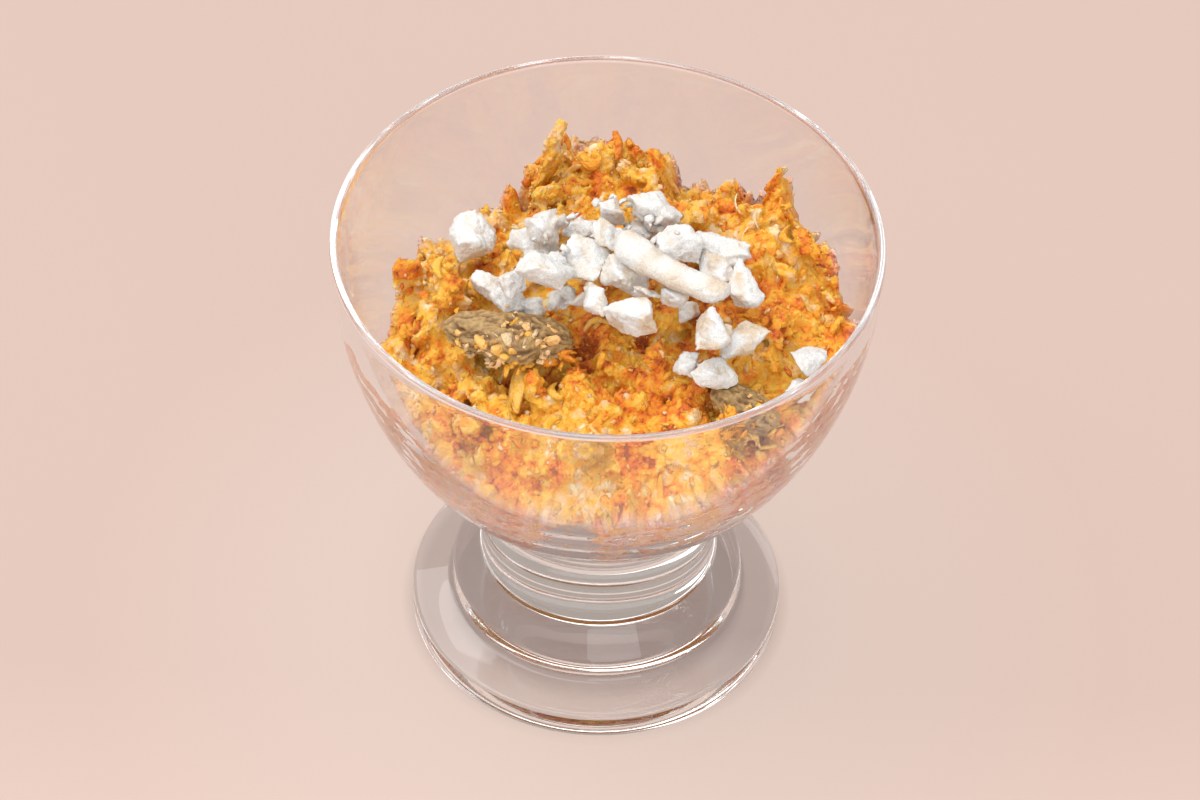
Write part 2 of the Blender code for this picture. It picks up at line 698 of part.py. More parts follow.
def main():
    clear_scene()
    dish = new_collection("gajar_halwa")
    glass = new_material("glass", GLASS_COLOUR, 0.02, 1.0)
    halwa = new_material("halwa", HALWA_COLOUR, 0.55)
    cashew = new_material("cashew", CASHEW_COLOUR, 0.65)
    raisin = new_material("raisin", RAISIN_COLOUR, 0.45)
    make_glass(dish, glass)
    core = make_core(dish, halwa)
    toppings = make_toppings(core, dish, cashew, raisin)
    rng = random.Random(SEED)
    pieces = [*stacked_pieces(rng), *top_pieces(rng), *wall_pieces(rng)]
    fuse_pieces(core, pieces, toppings, halwa)


main()
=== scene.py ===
"""Gajar halwa in a footed glass bowl, topped with chopped cashews and raisins, on a pale floor.

Metres, +Z up, the front is -Y. Names that end in _MM hold millimetres, and MM turns them into metres.
"""

import math
import random

import bmesh
import bpy
import numpy as np
from bpy.props import FloatProperty, FloatVectorProperty, IntProperty, PointerProperty
from mathutils import Euler, Matrix, Vector, kdtree, noise
from mathutils.bvhtree import BVHTree


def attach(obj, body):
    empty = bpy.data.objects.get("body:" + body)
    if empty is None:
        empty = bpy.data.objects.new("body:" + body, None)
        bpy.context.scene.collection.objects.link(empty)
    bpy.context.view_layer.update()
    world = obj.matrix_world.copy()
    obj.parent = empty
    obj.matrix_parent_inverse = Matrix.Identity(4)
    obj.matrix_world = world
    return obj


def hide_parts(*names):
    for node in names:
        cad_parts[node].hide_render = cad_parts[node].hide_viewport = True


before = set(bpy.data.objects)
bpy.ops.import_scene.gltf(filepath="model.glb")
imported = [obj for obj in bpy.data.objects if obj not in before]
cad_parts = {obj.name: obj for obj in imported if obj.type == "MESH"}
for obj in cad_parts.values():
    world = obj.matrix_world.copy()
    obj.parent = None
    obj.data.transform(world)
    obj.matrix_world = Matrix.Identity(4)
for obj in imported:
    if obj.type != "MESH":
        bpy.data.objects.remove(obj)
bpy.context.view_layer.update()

bl_info = {
    "name": "Gajar halwa",
    "version": (1, 0, 0),
    "blender": (4, 5, 0),
    "location": "View3D > Sidebar > Halwa",
    "description": "Builds a glass of carrot halwa with cashews and raisins, and its stage",
    "category": "Object",
}

MM = 0.001
ROOT = "root"

# The glass. Its hollow is a little deeper than the solid's, and its lip a little thinner.
HEIGHT_MM = 91.0
RIM_RADIUS_MM = 47.0
LIP_RADIUS_MM = 1.0
OUTER_DEPTH_MM = 62.2
INNER_RADIUS_MM = 45.0
INNER_DEPTH_MM = 57.6
LIP_CENTRE_MM = HEIGHT_MM - LIP_RADIUS_MM
LIP_THINNING_MM = 0.6
STEM_RADIUS_MM = 21.1
WAIST_FILLET_MM = 11.0
STEM_FLARE_Z_MM = 17.6
STEM_FLARE_MM = 2.2
COLLAR_RADIUS_MM = 26.3
COLLAR_ROUND_MM = 2.6
COLLAR_ROUND_Z_MM = 10.0
COLLAR_FILLET_MM = 1.5
COLLAR_FILLET_Z_MM = 8.2
FOOT_RADIUS_MM = 33.7
FOOT_ROUND_MM = 1.0
FOOT_ROUND_Z_MM = 4.1
FOOT_CORNER_MM = 0.4
REST_INNER_RADIUS_MM = 24.0
RECESS_STEP_MM = 1.0
RECESS_HEIGHT_MM = 2.2
LONGEST_GLASS_PATH = 11.0
# Painted highlight: the heights between which the lip glows a faint pale white.
PAINTED_LIP_HIGHLIGHT_MM = (HEIGHT_MM - 0.9, HEIGHT_MM - 0.5)

# The camera: its distance from the middle of the foot, its height angle, its roll and its offset.
CAMERA_DISTANCE_MM = 739.24
CAMERA_HEIGHT_DEG = 45.783
CAMERA_ROLL_DEG = 1.94
CAMERA_OFFSET_MM = (0.774, 36.018)
LENS_MM = 120.0
SENSOR_MM = 36.0

# The floor lies just below the foot. Its colour changes between each two distances, from the middle of the
# glass or, in front of it, along Y. It pales far off, has painted light near the glass and in front, and a
# painted shadow under the foot.
FLOOR_GAP_MM = 0.1
FAR_FLOOR_MM = (280.0, 800.0)
NEAR_PAINTED_LIGHT_MM = (45.0, 95.0)
FRONT_PAINTED_LIGHT_MM = (-20.0, -100.0)
UNDER_FOOT_MM = (24.0, 27.0)
PAST_FOOT_MM = (31.0, 36.0)
FRONT_SHADE_MM = (-34.0, -10.0)

# The lights, in metres: their places, widths and tints, and the point that they face.
KEY_PLACE = (-0.48, 0.16, 1.3)
KEY_WIDTH = 1.7
KEY_TINT = (1.0, 0.99, 0.975)
FILL_PLACE = (0.35, -1.3, 0.75)
FILL_WIDTH = 0.9
FILL_TINT = (0.97, 0.98, 1.0)
LIT_POINT = (0.0, 0.0, 0.05)

# The heap is two pieces that meet on a tilted plane just below its edge. Dents, hollows and peaks shape
# its top. A dent or a hollow is given by x, y, radius and depth, and a peak by its place, width and height.
LEVEL_MM = 60.0
LEVEL_TILT = (0.154, 0.122)
EDGE_MM = 60.0
DRAWN_IN_MM = 2.2
DENTS_MM = (
    (19.0, 31.0, 9.0, 6.0),
    (-15.5, 28.0, 4.2, 10.0),
    (-18.0, 33.0, 3.4, 6.0),
    (-15.4, 34.5, 2.5, 7.5),
    (-12.8, 35.0, 2.0, 5.0),
    (-4.8, 40.0, 3.0, 7.5),
    (3.5, 40.0, 2.6, -3.0),
    (8.1, 38.0, 2.4, -1.6),
    (13.2, 33.0, 4.5, 7.0),
    (13.4, 39.5, 2.0, 7.5),
    (18.6, 37.5, 2.8, 4.2),
    (21.6, 36.5, 2.0, 2.0),
    (26.0, 29.0, 3.5, 6.0),
    (26.1, 31.5, 2.2, 3.5),
    (34.5, 20.0, 3.4, 6.0),
    (34.4, 26.0, 3.2, 12.0),
    (36.8, 23.5, 2.8, 7.0),
    (40.0, 13.0, 6.0, 3.0),
    (41.6, 6.0, 3.4, 5.5),
    (-28.0, 21.0, 5.0, 3.5),
    (-28.0, 29.5, 4.0, 6.0),
    (-21.0, 34.0, 2.8, 3.5),
)
# Each hollow is also painted into the darkest colours, as painted shade.
HOLLOWS_MM = (
    (-20.4, -11.0, 1.7, 4.5),
    (-16.4, -11.6, 1.8, 4.5),
    (-16.2, -17.0, 1.5, 4.5),
    (-8.4, -14.6, 1.6, 4.0),
    (-3.2, -5.6, 2.2, 5.0),
    (-2.8, -10.2, 1.4, 3.6),
    (6.5, -6.5, 2.2, 3.8),
    (3.4, -15.6, 1.5, 3.6),
    (11.0, -18.0, 1.4, 3.2),
    (14.0, -11.0, 1.8, 3.4),
    (19.5, -13.0, 1.4, 3.2),
    (-27.0, -9.0, 1.8, 3.4),
    (-33.0, 0.5, 1.6, 3.2),
    (-22.0, 12.0, 1.8, 3.2),
    (25.5, 3.5, 1.9, 3.6),
    (32.0, 9.0, 1.8, 3.4),
    (0.5, 21.0, 1.8, 3.2),
    (12.0, 19.5, 1.8, 3.2),
)
PEAKS_MM = (
    ((-10.3, 30.0, 84.6), 4.0, 16.0),
    ((30.2, 26.0, 69.6), 4.6, 8.0),
    ((-34.5, 9.5, 70.5), 5.0, 14.0),
)
HEAP_TOP_MM = 92.6
LOWER_COARSER = 1.4

# How far the heap, at most any point of it, and the loose bits reach into the glass wall, so that no gap
# shows.
PRESSED_IN_MM = 0.16
MOST_PRESSED_IN_MM = 0.18
BITS_PRESSED_IN_MM = 0.1

# Where the halwa leaves the wall: each noise's pitch and shift, its strength and what is taken off it.
WALL_HOLLOWS = ((7.0, 3.0, 3.2, 0.4), (2.4, 9.0, 1.0, 0.45))
DEEPEST_WALL_HOLLOW_MM = 1.6

# The heap's relief, from large to small, and how clear clods and lumps stay of the nuts and raisins. Each
# size of lump has its spacing, its least and greatest width and its lift, as shares of the usual lump.
CLOD_SPACING_MM = 5.6
ROUGH_VOXEL_MM = 0.9
CLOD_TO_NUT_MM = 3.0
LUMP_TO_NUT_MM = 0.8
LUMP_TO_RAISIN_MM = 0.9
LUMP_SIZES = ((0.85, 0.6, 1.25, 0.16), (0.42, 0.22, 0.5, 0.3))
SWELL_MM = 2.6
BIG_GRAIN_MM = 1.75
SMALL_GRAIN_MM = 0.95

# The loose halwa: how far apart its lumps, grains, milk solids and shreds lie, and where single bits lie.
LUMP_SPACING_MM = 3.4
GRAIN_SPACING_MM = 1.6
MILK_SPACING_MM = 5.5
SHRED_SPACING_MM = 3.6
SHREDS_LEFT_OUT = 0.88
LONG_SHRED_ENDS_MM = ((-9.8, -8.5), (-14.6, -20.5))
CREAM_CRUMB_MM = (-32.0, 13.0)
FIBRES_MM = (24.4, 18.0)
FIBRE_COUNT = 5

# How large a chopped cashew is made against its solid's own box, and where fragments lie between the chips.
CHIP_GROWTH = 1.16
LONE_CHIP_GROWTH = 0.98
LONE_CHIP_X_MM = -20.0
PILE_MIDDLE_MM = (0.0, 14.0)
PILE_REACH_MM = 17.0


def colour_property(name, description, default):
    return FloatVectorProperty(
        name=name, description=description, subtype="COLOR", size=3, default=default, min=0.0, max=1.0
    )


class GlassSettings(bpy.types.PropertyGroup):
    """Sizes and finish of the glass bowl"""

    turn_steps: IntProperty(
        name="Steps round", description="Faces round the glass", default=192, min=24, max=360
    )
    wall_steps: IntProperty(
        name="Steps up the wall", description="Faces up the bowl's wall", default=36, min=6, max=90
    )
    arc_steps: IntProperty(
        name="Steps in a round", description="Faces across each rounded edge", default=8, min=3, max=24
    )
    tint: colour_property("Tint", "Colour of the glass", (0.97, 0.98, 0.985))


class HalwaSettings(bpy.types.PropertyGroup):
    """Crumbs and colours of the halwa"""

    voxel: FloatProperty(
        name="Relief", description="Size of the heap's finest relief", default=0.47 * MM, unit="LENGTH"
    )
    lump: FloatProperty(
        name="Lump size", description="Usual width of a cooked lump", default=3.6 * MM, unit="LENGTH"
    )
    # Painted shade: the colour given to the halwa down in its hollows and seams.
    hollow: colour_property("Hollow", "Colour of the shadowed carrot down in the gaps", (0.42, 0.095, 0.014))
    deep: colour_property("Deep orange", "Colour of the darkest carrot", (0.80, 0.19, 0.025))
    orange: colour_property("Orange", "Colour of most of the carrot", (0.96, 0.375, 0.03))
    yellow: colour_property("Yellow", "Colour of the ghee-soaked carrot", (0.98, 0.555, 0.07))
    peach: colour_property("Peach", "Colour of carrot coated in milk solids", (0.95, 0.55, 0.25))
    # Painted light: the pale colour that the halwa takes where it is pressed on the glass, lightening its
    # sides that the lights hardly reach.
    pressed: colour_property(
        "Against the glass",
        "Colour of the brightened film where the halwa is pressed on the glass",
        (0.95, 0.60, 0.56),
    )
    cream: colour_property("Cream", "Colour of the milk solids", (0.96, 0.78, 0.48))


class ToppingSettings(bpy.types.PropertyGroup):
    """Relief and colours of the cashews and raisins"""

    nut_voxel: FloatProperty(
        name="Cashew relief",
        description="Size of the cashews' finest relief",
        default=0.27 * MM,
        unit="LENGTH",
    )
    raisin_voxel: FloatProperty(
        name="Raisin relief",
        description="Size of the raisins' finest relief",
        default=0.24 * MM,
        unit="LENGTH",
    )
    nut_white: colour_property("Cut cashew", "Colour of a cut face", (0.92, 0.915, 0.90))
    nut_beige: colour_property("Cashew skin", "Colour of the outer skin", (0.80, 0.64, 0.47))
    # Painted shade: darker deep in a wrinkle, lighter on its top.
    raisin_furrow_shade: colour_property("Raisin furrow", "Colour deep in a wrinkle", (0.18, 0.085, 0.028))
    raisin_light: colour_property("Raisin ridge", "Colour on top of a wrinkle", (0.50, 0.32, 0.125))


class StageSettings(bpy.types.PropertyGroup):
    """Floor and light round the glass"""

    floor_size: FloatProperty(
        name="Floor size", description="Width of the floor", default=12.0, unit="LENGTH"
    )
    floor_colour: colour_property("Floor", "Colour of the floor", (0.66, 0.495, 0.43))
    # Painted light: the floor is lighter close to the glass.
    near_painted_light: colour_property(
        "Floor near the foot",
        "Colour of the floor close to the glass, where its shade would darken it",
        (0.69, 0.545, 0.48),
    )
    # Painted light: the floor brightens towards the front.
    front_painted_light: colour_property(
        "Floor in front", "Colour that the floor brightens to in front", (0.79, 0.615, 0.54)
    )
    far_colour: colour_property(
        "Floor far off", "Colour that the floor pales to away from the glass", (0.62, 0.55, 0.51)
    )
    # Painted shadow: the colour of the floor under the foot.
    shaded_colour: colour_property(
        "Floor under the foot", "Colour of the floor in the shade of the glass", (0.33, 0.25, 0.225)
    )
    key_power: FloatProperty(
        name="Key light", description="Power of the large soft light in watts", default=20.0, min=0.0
    )
    fill_power: FloatProperty(
        name="Fill light", description="Power of the fill light in watts", default=5.0, min=0.0
    )
    sky_strength: FloatProperty(
        name="Sky", description="Strength of the light all round", default=0.62, min=0.0
    )


# Materials


def new_node(tree, kind, inputs=None, **settings):
    """A node with its settings, and its inputs set from values or linked from sockets."""
    made = tree.nodes.new(kind)
    for key, value in settings.items():
        setattr(made, key, value)
    for key, value in (inputs or {}).items():
        if isinstance(value, bpy.types.NodeSocket):
            tree.links.new(value, made.inputs[key])
        else:
            made.inputs[key].default_value = value
    return made


def new_group(name, inputs, outputs):
    """A shader node group with named inputs and outputs: (tree, its input node, its output node)."""
    tree = bpy.data.node_groups.new(name, "ShaderNodeTree")
    for label, kind, value in inputs:
        socket = tree.interface.new_socket(label, in_out="INPUT", socket_type=kind)
        socket.default_value = value
    for label, kind in outputs:
        tree.interface.new_socket(label, in_out="OUTPUT", socket_type=kind)
    return tree, tree.nodes.new("NodeGroupInput"), tree.nodes.new("NodeGroupOutput")


def math_node(tree, operation, first, second, clamp=False):
    made = new_node(tree, "ShaderNodeMath", {0: first, 1: second}, operation=operation, use_clamp=clamp)
    return made.outputs[0]


def mixed_colour(tree, share, first, second, blend="MIX"):
    made = new_node(
        tree,
        "ShaderNodeMix",
        {"Factor": share},
        data_type="RGBA",
        blend_type=blend,
    )
    for key, value in (("A_Color", first), ("B_Color", second)):
        socket = next(s for s in made.inputs if s.identifier == key)
        if isinstance(value, bpy.types.NodeSocket):
            tree.links.new(value, socket)
        else:
            socket.default_value = value
    return next(s for s in made.outputs if s.identifier == "Result_Color")


def mapped(tree, value, low, high, to_low, to_high):
    made = new_node(
        tree,
        "ShaderNodeMapRange",
        {"Value": value, "From Min": low, "From Max": high, "To Min": to_low, "To Max": to_high},
    )
    return made.outputs["Result"]


def opaque(colour):
    return (colour[0], colour[1], colour[2], 1.0)


def ramp_node(tree, value, stops):
    made = new_node(tree, "ShaderNodeValToRGB", {"Fac": value})
    elements = made.color_ramp.elements
    while len(elements) < len(stops):
        elements.new(0.5)
    for element, (place, colour) in zip(elements, stops):
        element.position = place
        element.color = opaque(colour)
    return made.outputs["Color"]


def grain_group():
    """Grain: two sizes of speckle and a height for a bump, from the place on the piece."""
    tree, start, end = new_group(
        "Grain",
        [
            ("Vector", "NodeSocketVector", (0.0, 0.0, 0.0)),
            ("Coarse", "NodeSocketFloat", 700.0),
            ("Fine", "NodeSocketFloat", 2200.0),
        ],
        [
            ("Coarse", "NodeSocketFloat"),
            ("Fine", "NodeSocketFloat"),
            ("Height", "NodeSocketFloat"),
        ],
    )
    coarse = new_node(
        tree,
        "ShaderNodeTexNoise",
        {"Vector": start.outputs["Vector"], "Scale": start.outputs["Coarse"], "Detail": 2.0},
    )
    fine = new_node(
        tree,
        "ShaderNodeTexNoise",
        {"Vector": start.outputs["Vector"], "Scale": start.outputs["Fine"], "Detail": 3.0, "Roughness": 0.6},
    )
    cells = new_node(
        tree,
        "ShaderNodeTexVoronoi",
        {"Vector": start.outputs["Vector"], "Scale": start.outputs["Fine"]},
    )
    bumps = math_node(tree, "SUBTRACT", 1.0, cells.outputs["Distance"])
    height = math_node(tree, "ADD", math_node(tree, "MULTIPLY", bumps, 0.5), fine.outputs["Fac"])
    tree.links.new(coarse.outputs["Fac"], end.inputs["Coarse"])
    tree.links.new(fine.outputs["Fac"], end.inputs["Fine"])
    tree.links.new(height, end.inputs["Height"])
    return tree


def grain_node(tree, coarse, fine):
    """The Grain group placed in a material, on Object coordinates."""
    group = bpy.data.node_groups.get("Grain") or grain_group()
    place = new_node(tree, "ShaderNodeTexCoord")
    made = new_node(tree, "ShaderNodeGroup", node_tree=group)
    tree.links.new(place.outputs["Object"], made.inputs["Vector"])
    made.inputs["Coarse"].default_value = coarse
    made.inputs["Fine"].default_value = fine
    return made


def new_material(name):
    """A node material: (material, its tree, its Principled shader)."""
    material = bpy.data.materials.new(name)
    material.use_nodes = True
    tree = material.node_tree
    tree.nodes.clear()
    out = tree.nodes.new("ShaderNodeOutputMaterial")
    shader = tree.nodes.new("ShaderNodeBsdfPrincipled")
    tree.links.new(shader.outputs["BSDF"], out.inputs["Surface"])
    return material, tree, shader


def set_sockets(shader, **values):
    for key, value in values.items():
        shader.inputs[key.replace("_", " ")].default_value = value


def bump_from(tree, height, distance, strength=1.0):
    made = new_node(tree, "ShaderNodeBump", {"Height": height, "Distance": distance, "Strength": strength})
    return made.outputs["Normal"]


def attribute_value(tree, name):
    return new_node(tree, "ShaderNodeAttribute", attribute_name=name).outputs["Fac"]


def halwa_material(settings, name, glow_mm, glow=0.5):
    """Cooked carrot: moist, a little see-through, orange to cream by the lump's own tint with painted light
    and shade in it, and paler as painted light where it is pressed on the glass.
    """
    material, tree, shader = new_material(name)
    grain = grain_node(tree, 620.0, 1700.0)
    tint = attribute_value(tree, "tint")
    coarse = mapped(tree, grain.outputs["Coarse"], 0.3, 0.7, -0.1, 0.12)
    fine = mapped(tree, grain.outputs["Fine"], 0.3, 0.7, -0.07, 0.09)
    shade = math_node(tree, "ADD", math_node(tree, "ADD", tint, coarse), fine)
    colour = ramp_node(
        tree,
        shade,
        [
            (0.0, settings.hollow),
            (0.1, settings.deep),
            (0.32, settings.orange),
            (0.58, settings.yellow),
            (0.8, settings.peach),
            (1.0, settings.cream),
        ],
    )
    wall = attribute_value(tree, "wall")
    # Painted light: paler where the halwa is pressed on the glass.
    pale = math_node(tree, "MULTIPLY", wall, 0.95)
    colour = mixed_colour(tree, pale, colour, opaque(settings.pressed))
    tree.links.new(colour, shader.inputs["Base Color"])
    rough = mapped(tree, grain.outputs["Fine"], 0.35, 0.65, 0.4, 0.68)
    tree.links.new(rough, shader.inputs["Roughness"])
    tree.links.new(bump_from(tree, grain.outputs["Height"], 0.4 * MM), shader.inputs["Normal"])
    set_sockets(
        shader,
        Subsurface_Weight=glow,
        Subsurface_Radius=(1.0, 0.5, 0.2),
        Subsurface_Scale=glow_mm * MM,
        Specular_IOR_Level=0.4,
    )
    return material


def nut_material(settings):
    """Cashew: chalky white where it is cut, smooth beige on the skin and, as painted shade, in the chips'
    dents, with a fine sparkle of powder.
    """
    material, tree, shader = new_material("cashew")
    grain = grain_node(tree, 900.0, 3600.0)
    # The skin share: skin patches and, on the chips, painted shade in the dents.
    skin = attribute_value(tree, "skin")
    uneven = mapped(tree, grain.outputs["Coarse"], 0.35, 0.65, -0.25, 0.25)
    mask = math_node(tree, "ADD", skin, math_node(tree, "MULTIPLY", uneven, skin), clamp=True)
    colour = mixed_colour(tree, mask, opaque(settings.nut_white), opaque(settings.nut_beige))
    speckle = mapped(tree, grain.outputs["Fine"], 0.3, 0.7, 0.8, 1.1)
    shaded = new_node(tree, "ShaderNodeCombineColor", {"Red": speckle, "Green": speckle, "Blue": speckle})
    colour = mixed_colour(tree, 1.0, colour, shaded.outputs[0], blend="MULTIPLY")
    tree.links.new(colour, shader.inputs["Base Color"])
    tree.links.new(mapped(tree, mask, 0.0, 1.0, 0.42, 0.3), shader.inputs["Roughness"])
    tree.links.new(bump_from(tree, grain.outputs["Height"], 0.16 * MM), shader.inputs["Normal"])
    set_sockets(
        shader,
        Subsurface_Weight=0.15,
        Subsurface_Radius=(1.0, 0.8, 0.6),
        Subsurface_Scale=1.2 * MM,
        Specular_IOR_Level=0.4,
    )
    return material


def raisin_material(settings):
    """Raisin: olive brown, darker in the furrows as painted shade, with a waxy shine."""
    material, tree, shader = new_material("raisin")
    grain = grain_node(tree, 500.0, 2600.0)
    # Painted shade: darker in the furrows, lighter on the ridges, with the raisin's own uneven tone.
    ridge = attribute_value(tree, "ridge")
    uneven = mapped(tree, grain.outputs["Coarse"], 0.3, 0.7, -0.22, 0.22)
    share = math_node(tree, "ADD", ridge, uneven, clamp=True)
    colour = mixed_colour(tree, share, opaque(settings.raisin_furrow_shade), opaque(settings.raisin_light))
    tree.links.new(colour, shader.inputs["Base Color"])
    tree.links.new(mapped(tree, grain.outputs["Fine"], 0.3, 0.7, 0.32, 0.58), shader.inputs["Roughness"])
    tree.links.new(bump_from(tree, grain.outputs["Height"], 0.09 * MM), shader.inputs["Normal"])
    set_sockets(
        shader,
        Subsurface_Weight=0.2,
        Subsurface_Radius=(1.0, 0.5, 0.15),
        Subsurface_Scale=1.5 * MM,
    )
    return material


def glass_material(settings):
    """Clear glass whose lip glows a faint pale white, a painted highlight. Shadow rays pass it, and so does
    light that has run round in it for long.
    """
    material, tree, shader = new_material("glass")
    place = new_node(tree, "ShaderNodeTexCoord")
    smudge = new_node(
        tree, "ShaderNodeTexNoise", {"Vector": place.outputs["Object"], "Scale": 60.0, "Detail": 3.0}
    )
    tree.links.new(mapped(tree, smudge.outputs["Fac"], 0.5, 0.8, 0.0, 0.03), shader.inputs["Roughness"])
    height = new_node(tree, "ShaderNodeSeparateXYZ", {0: place.outputs["Object"]}).outputs["Z"]
    # Painted highlight: the top of the lip glows a faint pale white.
    lip = mapped(tree, height, PAINTED_LIP_HIGHLIGHT_MM[0] * MM, PAINTED_LIP_HIGHLIGHT_MM[1] * MM, 0.0, 1.0)
    shine = mixed_colour(tree, lip, (0.0, 0.0, 0.0, 1.0), (1.0, 0.92, 0.98, 1.0))
    tree.links.new(shine, shader.inputs["Emission Color"])
    set_sockets(
        shader,
        Base_Color=opaque(settings.tint),
        Transmission_Weight=1.0,
        IOR=1.5,
        Emission_Strength=0.14,
    )
    clear = new_node(tree, "ShaderNodeBsdfTransparent", {"Color": (0.96, 0.96, 0.96, 1.0)})
    path = new_node(tree, "ShaderNodeLightPath")
    trapped = math_node(tree, "GREATER_THAN", path.outputs["Ray Depth"], LONGEST_GLASS_PATH)
    passes = math_node(tree, "MAXIMUM", path.outputs["Is Shadow Ray"], trapped)
    both = new_node(tree, "ShaderNodeMixShader", {0: passes})
    tree.links.new(shader.outputs["BSDF"], both.inputs[1])
    tree.links.new(clear.outputs["BSDF"], both.inputs[2])
    out = next(n for n in tree.nodes if n.type == "OUTPUT_MATERIAL")
    tree.links.new(both.outputs["Shader"], out.inputs["Surface"])
    return material


def floor_material(settings):
    """Matt pale card with the faintest mottling, painted light near the glass and in front, and a painted
    shadow under the foot.
    """
    material, tree, shader = new_material("floor")
    place = new_node(tree, "ShaderNodeTexCoord")
    mottle = new_node(
        tree, "ShaderNodeTexNoise", {"Vector": place.outputs["Object"], "Scale": 9.0, "Detail": 2.0}
    )
    colour = opaque(settings.floor_colour)
    darker = tuple(0.985 * c for c in colour[:3]) + (1.0,)
    near = mixed_colour(tree, mottle.outputs["Fac"], darker, colour)
    length = new_node(tree, "ShaderNodeVectorMath", {0: place.outputs["Object"]}, operation="LENGTH")
    away = length.outputs["Value"]
    depth = new_node(tree, "ShaderNodeSeparateXYZ", {0: place.outputs["Object"]}).outputs["Y"]

    def between(value, places_mm, first, last):
        return mapped(tree, value, places_mm[0] * MM, places_mm[1] * MM, first, last)

    far = between(away, FAR_FLOOR_MM, 0.0, 1.0)
    colour = mixed_colour(tree, far, near, opaque(settings.far_colour))
    # Painted light: lighter close to the glass.
    close = between(away, NEAR_PAINTED_LIGHT_MM, 1.0, 0.0)
    colour = mixed_colour(tree, close, colour, opaque(settings.near_painted_light))
    # Painted light: lighter towards the front.
    front = between(depth, FRONT_PAINTED_LIGHT_MM, 0.0, 0.75)
    colour = mixed_colour(tree, front, colour, opaque(settings.front_painted_light))
    # Painted shadow: darker under the foot and just past it, less so in front.
    under = between(away, UNDER_FOOT_MM, 1.0, 0.64)
    outside = between(away, PAST_FOOT_MM, 1.0, 0.0)
    behind = between(depth, FRONT_SHADE_MM, 0.35, 1.0)
    shade = math_node(tree, "MULTIPLY", math_node(tree, "MULTIPLY", under, outside), behind)
    colour = mixed_colour(tree, shade, colour, opaque(settings.shaded_colour))
    dim = new_node(tree, "ShaderNodeVectorMath", {0: colour, 1: (0.25, 0.25, 0.25)}, operation="MULTIPLY")
    tree.links.new(dim.outputs[0], shader.inputs["Base Color"])
    tree.links.new(colour, shader.inputs["Emission Color"])
    set_sockets(shader, Roughness=0.85, Specular_IOR_Level=0.1, Emission_Strength=0.88)
    return material


# Shapes shared by the pieces


def link(obj):
    bpy.context.scene.collection.objects.link(obj)
    return obj


def shown_piece(name, mesh, material, nodes):
    """A finished piece: its material, the body it rides on and the nodes it stands for."""
    obj = bpy.data.objects.get(name)
    if obj is not None:
        raise RuntimeError(f"there is already an object named {name}")
    obj = link(bpy.data.objects.new(name, mesh))
    mesh.name = name
    mesh.materials.clear()
    mesh.materials.append(material)
    mesh.shade_smooth()
    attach(obj, ROOT)
    if nodes:
        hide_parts(*nodes)
    return obj


def mesh_from(bm, name):
    mesh = bpy.data.meshes.new(name)
    bm.to_mesh(mesh)
    bm.free()
    return mesh


def node_shape(name):
    """A bmesh of a CAD node, its loose triangles merged."""
    bm = bmesh.new()
    bm.from_mesh(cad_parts[name].data)
    bmesh.ops.remove_doubles(bm, verts=bm.verts, dist=0.001 * MM)
    return bm


def remeshed(bm, voxel):
    """The bmesh as one even skin of square faces."""
    mesh = mesh_from(bm, "blank")
    obj = link(bpy.data.objects.new("blank", mesh))
    remesh = obj.modifiers.new("remesh", "REMESH")
    remesh.mode = "VOXEL"
    remesh.voxel_size = voxel
    remesh.adaptivity = 0.0
    graph = bpy.context.evaluated_depsgraph_get()
    made = bpy.data.meshes.new_from_object(obj.evaluated_get(graph))
    bpy.data.objects.remove(obj)
    bpy.data.meshes.remove(mesh)
    return made


def points_of(mesh):
    values = np.empty(len(mesh.vertices) * 3)
    mesh.vertices.foreach_get("co", values)
    return values.reshape(-1, 3)


def normals_of(mesh):
    values = np.empty(len(mesh.vertices) * 3, np.float32)
    mesh.vertex_normals.foreach_get("vector", values)
    return values.reshape(-1, 3).astype(float)


def set_points(mesh, points):
    mesh.vertices.foreach_set("co", points.astype(np.float32).ravel())
    mesh.update()


def set_value(mesh, name, values):
    attribute = mesh.attributes.get(name) or mesh.attributes.new(name, "FLOAT", "POINT")
    attribute.data.foreach_set("value", np.asarray(values, np.float32))


def noise_at(points, pitch, shift=0.0):
    """Smooth noise from about -1 to 1 at each point, one swell every pitch metres."""
    offset = Vector((shift, 1.7 * shift, -0.6 * shift))
    return np.array([noise.noise(Vector(p) / pitch + offset) for p in points])


def tree_of(mesh):
    """A search tree over a mesh's faces."""
    bm = bmesh.new()
    bm.from_mesh(mesh)
    tree = BVHTree.FromBMesh(bm)
    bm.free()
    return tree


def smooth_share(values, low, high):
    share = np.clip((values - low) / (high - low), 0.0, 1.0)
    return share * share * (3 - 2 * share)


# The glass


def arc(centre, radius, start_deg, end_deg, steps):
    turns = [math.radians(start_deg + (end_deg - start_deg) * k / steps) for k in range(steps + 1)]
    return [(centre[0] + radius * math.cos(t), centre[1] + radius * math.sin(t)) for t in turns]


def wall_point(radius, depth, turn):
    """A point of a half ellipse that hangs from the lip, turn 0 being its lowest."""
    return radius * math.sin(turn), LIP_CENTRE_MM - depth * math.cos(turn)


def outward(turn):
    """The outer wall's normal at a turn."""
    across = math.sin(turn) / RIM_RADIUS_MM
    down = -math.cos(turn) / OUTER_DEPTH_MM
    size = math.hypot(across, down)
    return across / size, down / size


def waist_turn():
    """Where the outer wall meets the round that leads into the stem."""
    low, high = 0.0, math.pi / 2
    for _ in range(60):
        middle = (low + high) / 2
        reach = wall_point(RIM_RADIUS_MM, OUTER_DEPTH_MM, middle)[0] + WAIST_FILLET_MM * outward(middle)[0]
        if reach < STEM_RADIUS_MM + WAIST_FILLET_MM:
            low = middle
        else:
            high = middle
    return (low + high) / 2


